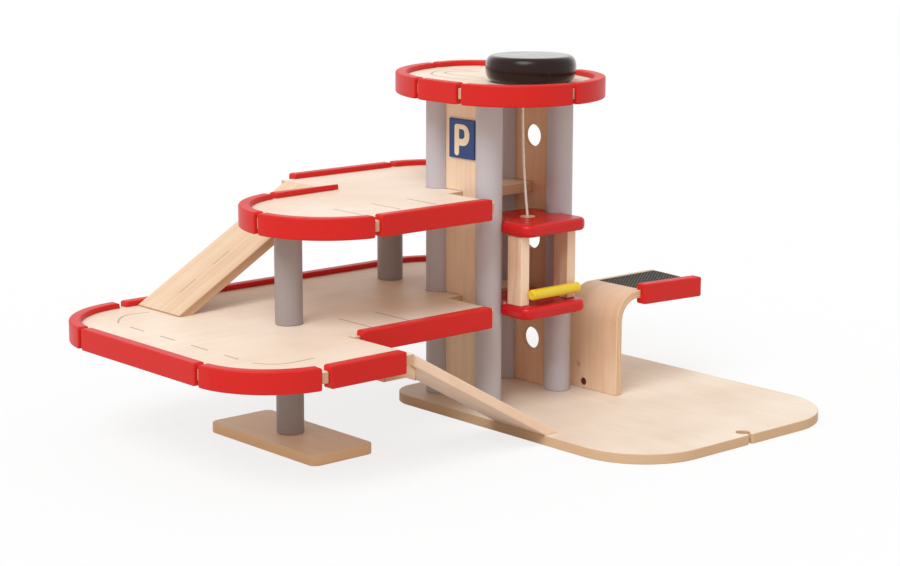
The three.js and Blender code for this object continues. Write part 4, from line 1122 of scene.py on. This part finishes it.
mat_cloth = surface("mat cloth", effect(
    "flat weave", {"Thread": "Color", "Float": "Color"}, flat_weave),
    {"Thread": (50, 49, 47), "Float": (142, 139, 130)}, 0.3, Specular_IOR_Level=0.2)
mat_outline = rounded(rectangle(
    MAT_RIGHT - MAT_WIDE, MAT_RIGHT, MAT_BACK - MAT_LONG, MAT_BACK, 0.8))
mat_bm = board([mat_outline], LOWER - MAT_SUNK, LOWER - MAT_SUNK + MAT_THICK, 0.3, clear=0.5)
score(mat_bm, (MAT_RIGHT, MAT_BACK), (MAT_RIGHT - MAT_WIDE, MAT_BACK - MAT_LONG), MAT_CUTS)
sag(piece("bridge_pad", mat_bm, mat_cloth, "woven_mat", "garage", "bridge_mat"))

# Lift cage: two thick red plates with well rounded edges, bitten out where they slide along the
# tower's right posts, and two bare wooden uprights between them.
CAGE_LEFT, CAGE_RIGHT, CAGE_FRONT, CAGE_BACK = -33.0, 47.0, 5.7, 85.7
CAGE_CORNER, CAGE_EASE, PLAY, BITE_STEPS = 11.0, 3.8, 0.8, 17
UPRIGHT_LEFT, UPRIGHT_RIGHT, UPRIGHT_THICK, FRONT_INSET, BACK_INSET = 16.0, 35.0, 11.0, 3.3, 5.7
bite = POST_RADIUS + PLAY
bite_turn = math.asin(CAGE_FRONT / bite)


def plate_outline():
    """Square plate with round corners and a bite for each of the two posts."""
    points = rounded(rectangle(CAGE_LEFT, CAGE_RIGHT, CAGE_FRONT, CAGE_BACK, CAGE_CORNER))
    quarter = len(points) // 4
    front_bite = circle(0, 0, bite, BITE_STEPS, math.pi - bite_turn, bite_turn)
    back_bite = circle(0, TOWER_LONG, bite, BITE_STEPS, -bite_turn, bite_turn - math.pi)
    return (points[:quarter] + front_bite + points[quarter:3 * quarter] + back_bite
            + points[3 * quarter:])


cage_red = paint("cage red", (200, 16, 20), (210, 40, 38), GRAIN_Y, 0.24, Specular_IOR_Level=0.3)
PLUG_RADIUS, PLUG_DEEP, PLUG_ROOM = 7.2, 8.0, 5
piece("cage_floor", board([plate_outline()], CAGE_FLOOR - PLATE, CAGE_FLOOR, CAGE_EASE), cage_red,
      "red_paint", "lift", "lift_floor")
cage_roof = piece("cage_roof", board([plate_outline()], CAGE_TOP - PLATE, CAGE_TOP, CAGE_EASE),
                  cage_red, "red_paint", "lift", "lift_roof")
cut(cage_roof, turned([
    (0, -PLUG_DEEP, 0), (PLUG_RADIUS + GAP, -PLUG_DEEP, 0), (PLUG_RADIUS + GAP, PLUG_ROOM, 0),
    (0, PLUG_ROOM, 0)], (cord_start.x, cord_start.y, CAGE_TOP)))
upright_wood = solid_wood("upright wood", (248, 218, 190), (184, 126, 92), (252, 230, 206),
                          (700, 700, 16), stack=(0, 1, 0), figure=0.8, glue=0)
for spot, front in (("front", CAGE_FRONT + FRONT_INSET),
                    ("back", CAGE_BACK - BACK_INSET - UPRIGHT_THICK)):
    upright_outline = rounded(
        rectangle(UPRIGHT_LEFT, UPRIGHT_RIGHT, front, front + UPRIGHT_THICK, 1.2), 0.5)
    piece(f"cage_upright_{spot}", board(
        [upright_outline], CAGE_FLOOR + GAP, CAGE_FLOOR + CAGE_CLEAR - GAP, 0.4, clear=0.8),
        upright_wood, "beech", "lift", f"lift_post_{spot}")

# Plug: the end of a pale wooden dowel, glued into a hole in the cage's roof. The cord comes up
# out of a small dimple in its middle.
plug_wood = solid_wood("plug wood", (236, 206, 168), (190, 140, 96), (226, 190, 148),
                       (900, 900, 30), figure=0.8)
piece("cord_anchor", turned([
    (0, -PLUG_DEEP + GAP, 0), (PLUG_RADIUS, -PLUG_DEEP + GAP, 0), (PLUG_RADIUS, GAP, 0.6),
    (CORD_RADIUS + 0.7, GAP, 0.2), (CORD_RADIUS + GAP, -PLUG_DIMPLE, 0), (0, -PLUG_DIMPLE, 0)],
    (cord_start.x, cord_start.y, CAGE_TOP)), plug_wood, "beech", "lift", "cord_plug")

# Barrier: a yellow rod that hangs across the cage's open side and swings up on a steel pin in the
# back upright.
ROD_RADIUS, ROD_FRONT, ROD_BACK, ROD_RISE, ROD_SOFT = 5.0, -63.4, -2.0, 11.0, 1.5
PIN_X, PIN_INSET, PIN_RADIUS, PIN_LEFT, PIN_RIGHT = 29.0, 6.5, 1.5, -6, 13
rod_x = UPRIGHT_RIGHT + PLAY / 2 + ROD_RADIUS
rod_back = CAGE_BACK - BACK_INSET + GAP
rod_z = CAGE_FLOOR + ROD_RISE
yellow_paint = paint("yellow paint", (228, 200, 26), (240, 222, 84), GRAIN_Y, 0.3)
piece("barrier_rod", turned([
    (0, ROD_FRONT, 0), (ROD_RADIUS, ROD_FRONT, ROD_SOFT), (ROD_RADIUS, ROD_BACK, ROD_SOFT),
    (0, ROD_BACK, 0)], (rod_x, rod_back, rod_z), 56, ACROSS),
    yellow_paint, "yellow_paint", "barrier", "lift_barrier")
piece("rod_pin", turned([
    (0, PIN_LEFT, 0), (PIN_RADIUS, PIN_LEFT, 0.2), (PIN_RADIUS, PIN_RIGHT, 0.2), (0, PIN_RIGHT, 0)],
    (PIN_X, rod_back - PIN_INSET, rod_z), 32, Matrix.Rotation(math.pi / 2, 4, "Y")),
    zinc, "steel", "lift", "barrier_pin")

# Winding knob: a wide cushion-shaped knob turned from wood in gloss black, hollow below. A drum
# under its middle winds the cord, and a screw through the roof is its axle.
KNOB_RADIUS, KNOB_TOP, KNOB_FOOT, KNOB_LOW, KNOB_HIGH = 42.5, 34.5, 36.0, 1.6, 25.0
KNOB_ROUND, KNOB_STEPS, KNOB_SIDES = 3.0, 30, 128
HOLLOW_RADIUS, HOLLOW_TOP, DRUM_RADIUS, DRUM_LOW = 28.5, 18.0, 4.3, 1.3
BORE_RADIUS, BORE_TOP = 2.1, 10.7
AXLE_RADIUS, AXLE_LONG, AXLE_HEAD, HEAD_THICK = 1.8, 22.2, 2.7, 2.2
WINDINGS, WINDING_RISE, WINDING_LOW, WINDING_THICK = 4, 2.25, 2.4, 2.2
WINDING_IN, WINDING_OUT, WINDING_DIP = 4.6, 8.5, 7.8


def gloss_lacquer(place, given):
    """Gloss black lacquer: faint lathe rings, slow waves and a few specks of dust."""
    off = vector("MULTIPLY", vector("SUBTRACT", place, given["Axis"]), (1, 1, 0.6))
    rings = noise(vector("LENGTH", off) * 900, 1)
    dust = remap(noise(place, 1500, 1), 0.74, 0.84, 0, 0.35)
    smear = remap(noise(place, 30, 3), 0.35, 0.75)
    shade = mix(dust, given["Paint"], given["Dust"])
    return shade, remap(smear, 0, 1, 0.2, 0.34), rings * 0.3 + noise(place, 55)


black_gloss = surface("black lacquer", effect(
    "gloss lacquer", {"Paint": "Color", "Dust": "Color", "Axis": "Vector"}, gloss_lacquer), {
    "Paint": (38, 20, 18), "Dust": (120, 110, 104), "Axis": point(LIFT_X, LIFT_Y, ROOF)},
    0.05, Specular_IOR_Level=0.16, Coat_Roughness=0.18)
lacquer = black_gloss.node_tree
edge_on = Field(put(lacquer, "ShaderNodeLayerWeight").outputs["Facing"])
lacquer.links.new(remap(edge_on, 0.5, 0.8, 0.12, 0.9).socket,
                  lacquer.nodes["Principled BSDF"].inputs["Coat Weight"])
knob_side = []
half_high = (KNOB_HIGH - KNOB_LOW) / 2
for step in range(1, KNOB_STEPS):
    lean = math.pi * (step / KNOB_STEPS - 0.5)
    shoulder = KNOB_FOOT if lean < 0 else KNOB_TOP
    bulge = (KNOB_RADIUS - shoulder) * math.cos(lean) ** 0.8
    swell = math.copysign(abs(math.sin(lean)) ** 0.9, lean)
    knob_side.append((shoulder + bulge, KNOB_LOW + half_high * (1 + swell), 0))
piece("winding_knob", turned([
    (0, BORE_TOP, 0), (BORE_RADIUS, BORE_TOP, 0), (BORE_RADIUS, DRUM_LOW, 0),
    (DRUM_RADIUS, DRUM_LOW, 0.5), (DRUM_RADIUS, HOLLOW_TOP, 0.6), (HOLLOW_RADIUS, HOLLOW_TOP, 2),
    (HOLLOW_RADIUS, KNOB_LOW, 0.6), (KNOB_FOOT, KNOB_LOW, 0), *knob_side,
    (KNOB_TOP, KNOB_HIGH, 0), (KNOB_TOP - KNOB_ROUND, KNOB_HIGH, 0), (0, KNOB_HIGH, 0)],
    (LIFT_X, LIFT_Y, ROOF), KNOB_SIDES), black_gloss, "black_gloss", "knob", "knob", crease=50)
piece("axle_screw", turned([
    (0, 0, 0), (AXLE_HEAD, 0, 0.7), (AXLE_HEAD, HEAD_THICK, 0.2), (AXLE_RADIUS, HEAD_THICK, 0),
    (AXLE_RADIUS, AXLE_LONG, 0.4), (0, AXLE_LONG, 0)],
    (LIFT_X, LIFT_Y, ROOF - BOARD - GAP - HEAD_THICK), 48), zinc, "steel", "knob", "knob_axle")
wound_cord = surface("wound cord", SPUN, {
    "Pale": (244, 240, 230), "Dark": (200, 192, 178)}, 0.15, Sheen_Weight=0.3)
winding = [(WINDING_IN, WINDING_LOW, 0)]
for turn in range(WINDINGS):
    low = WINDING_LOW + WINDING_RISE * turn
    winding += [(WINDING_OUT, low, 1.0), (WINDING_OUT, low + WINDING_THICK, 1.0),
                (WINDING_DIP, low + WINDING_THICK + 2 * HAIR, 0)]
winding[-1] = (WINDING_IN, WINDING_LOW + WINDING_RISE * WINDINGS, 0)
piece("wound_turns", turned(winding, (LIFT_X, LIFT_Y, ROOF), 48), wound_cord,
      "cord", "knob", "cord_winding")

# Felt ring: a thin ring of grey felt, glued to the roof under the knob's rim. It brakes the knob,
# so the cage stays up.
FELT_IN, FELT_OUT, FELT_LOW, FELT_HIGH = 31.2, 35.2, 0.3, 1.3
felt = surface("grey felt", SPUN, {
    "Pale": (128, 126, 130), "Dark": (84, 82, 86)}, 0.3, Sheen_Weight=0.4)
piece("felt_washer", turned([
    (FELT_IN, FELT_LOW, 0.2), (FELT_OUT, FELT_LOW, 0.2), (FELT_OUT, FELT_HIGH, 0.3),
    (FELT_IN, FELT_HIGH, 0.3)], (LIFT_X, LIFT_Y, ROOF), KNOB_SIDES),
    felt, "felt", "garage", "felt_ring")

# Road marks: thin grey lines printed on the boards, short dashes along the middle of each lane
# and longer lines between the parking places.
MARK_WIDE, MARK_PROUD, MARK_SUNK = 1.9, 0.05, 0.1
mark_ink = paint("mark ink", (178, 164, 144), (198, 184, 162), GRAIN_X, 0.5, 0.02)
LOWER_MARKS = [
    [(-125, -316), (-103, -316)], [(-77, -316), (-55, -316)], [(-31, -316), (-6, -316)],
    [(18, -316), (38, -316)],
    [(-146, -315), (-159, -305), (-169, -291), (-166, -268)],
    [(56, -315), (74, -300), (76, -266)],
    [(-31, -112), (17, -112)], [(-31, -155), (17, -155)],
]
UPPER_MARKS = [[(-35, y), (6, y)] for y in (-157, -112, -70)]
ROOF_MARKS = [
    [(-108, 78), (-124, 56), (-121, 40), (-107, 22), (-87, 13), (-65, 10), (-46, 14)],
    [(-92, 70), (-108, 60), (-112, 48), (-105, 38), (-90, 33), (-68, 33), (-45, 35)],
]
RAMP_MARKS = [[(1.5, 107), (1.5, 128)], [(1.5, 151), (1.5, 172)]]


def smooth_line(stops, parts=8):
    """Points of a soft curve through a few stops."""
    if len(stops) < 3:
        return [Vector(stop) for stop in stops]
    spots = [Vector(stop) for stop in (stops[0], *stops, stops[-1])]
    line = []
    for before, first, second, after in zip(spots, spots[1:], spots[2:], spots[3:]):
        for k in range(parts):
            t = k / parts
            line.append(0.5 * ((2 * first) + (second - before) * t
                               + (2 * before - 5 * first + 4 * second - after) * t * t
                               + (3 * first - before - 3 * second + after) * t ** 3))
    return line + [spots[-1]]


def mark(name, stops, level, stand=Matrix.Identity(4)):
    line = smooth_line(stops)
    half = MARK_WIDE / 2
    left_side, right_side = [], []
    for i, spot in enumerate(line):
        run = (line[min(i + 1, len(line) - 1)] - line[max(i - 1, 0)]).normalized()
        away = Vector((run.y, -run.x)) * half
        right_side.append(spot + away)
        left_side.append(spot - away)
    strip = board([right_side + left_side[::-1]], level - MARK_SUNK, level + MARK_PROUD, 0.02,
                  stand, 0.2)
    piece(name, strip, mark_ink, "dark_steel", "garage")


for storey, level, marks in (("lower", LOWER, LOWER_MARKS), ("upper", UPPER, UPPER_MARKS),
                             ("roof", ROOF, ROOF_MARKS)):
    for number, stops in enumerate(marks):
        mark(f"mark_{storey}_{number}", stops, level)
ramp_top = Matrix.Translation((upper_ramp_x, UPPER_RAMP_EDGE, LOWER + STOREY))
ramp_top @= Matrix.Rotation(math.atan(RAMP_SLOPE), 4, "X") @ Matrix.Diagonal((1, -1, 1, 1))
for number, stops in enumerate(RAMP_MARKS):
    mark(f"mark_ramp_{number}", stops, 0, ramp_top)
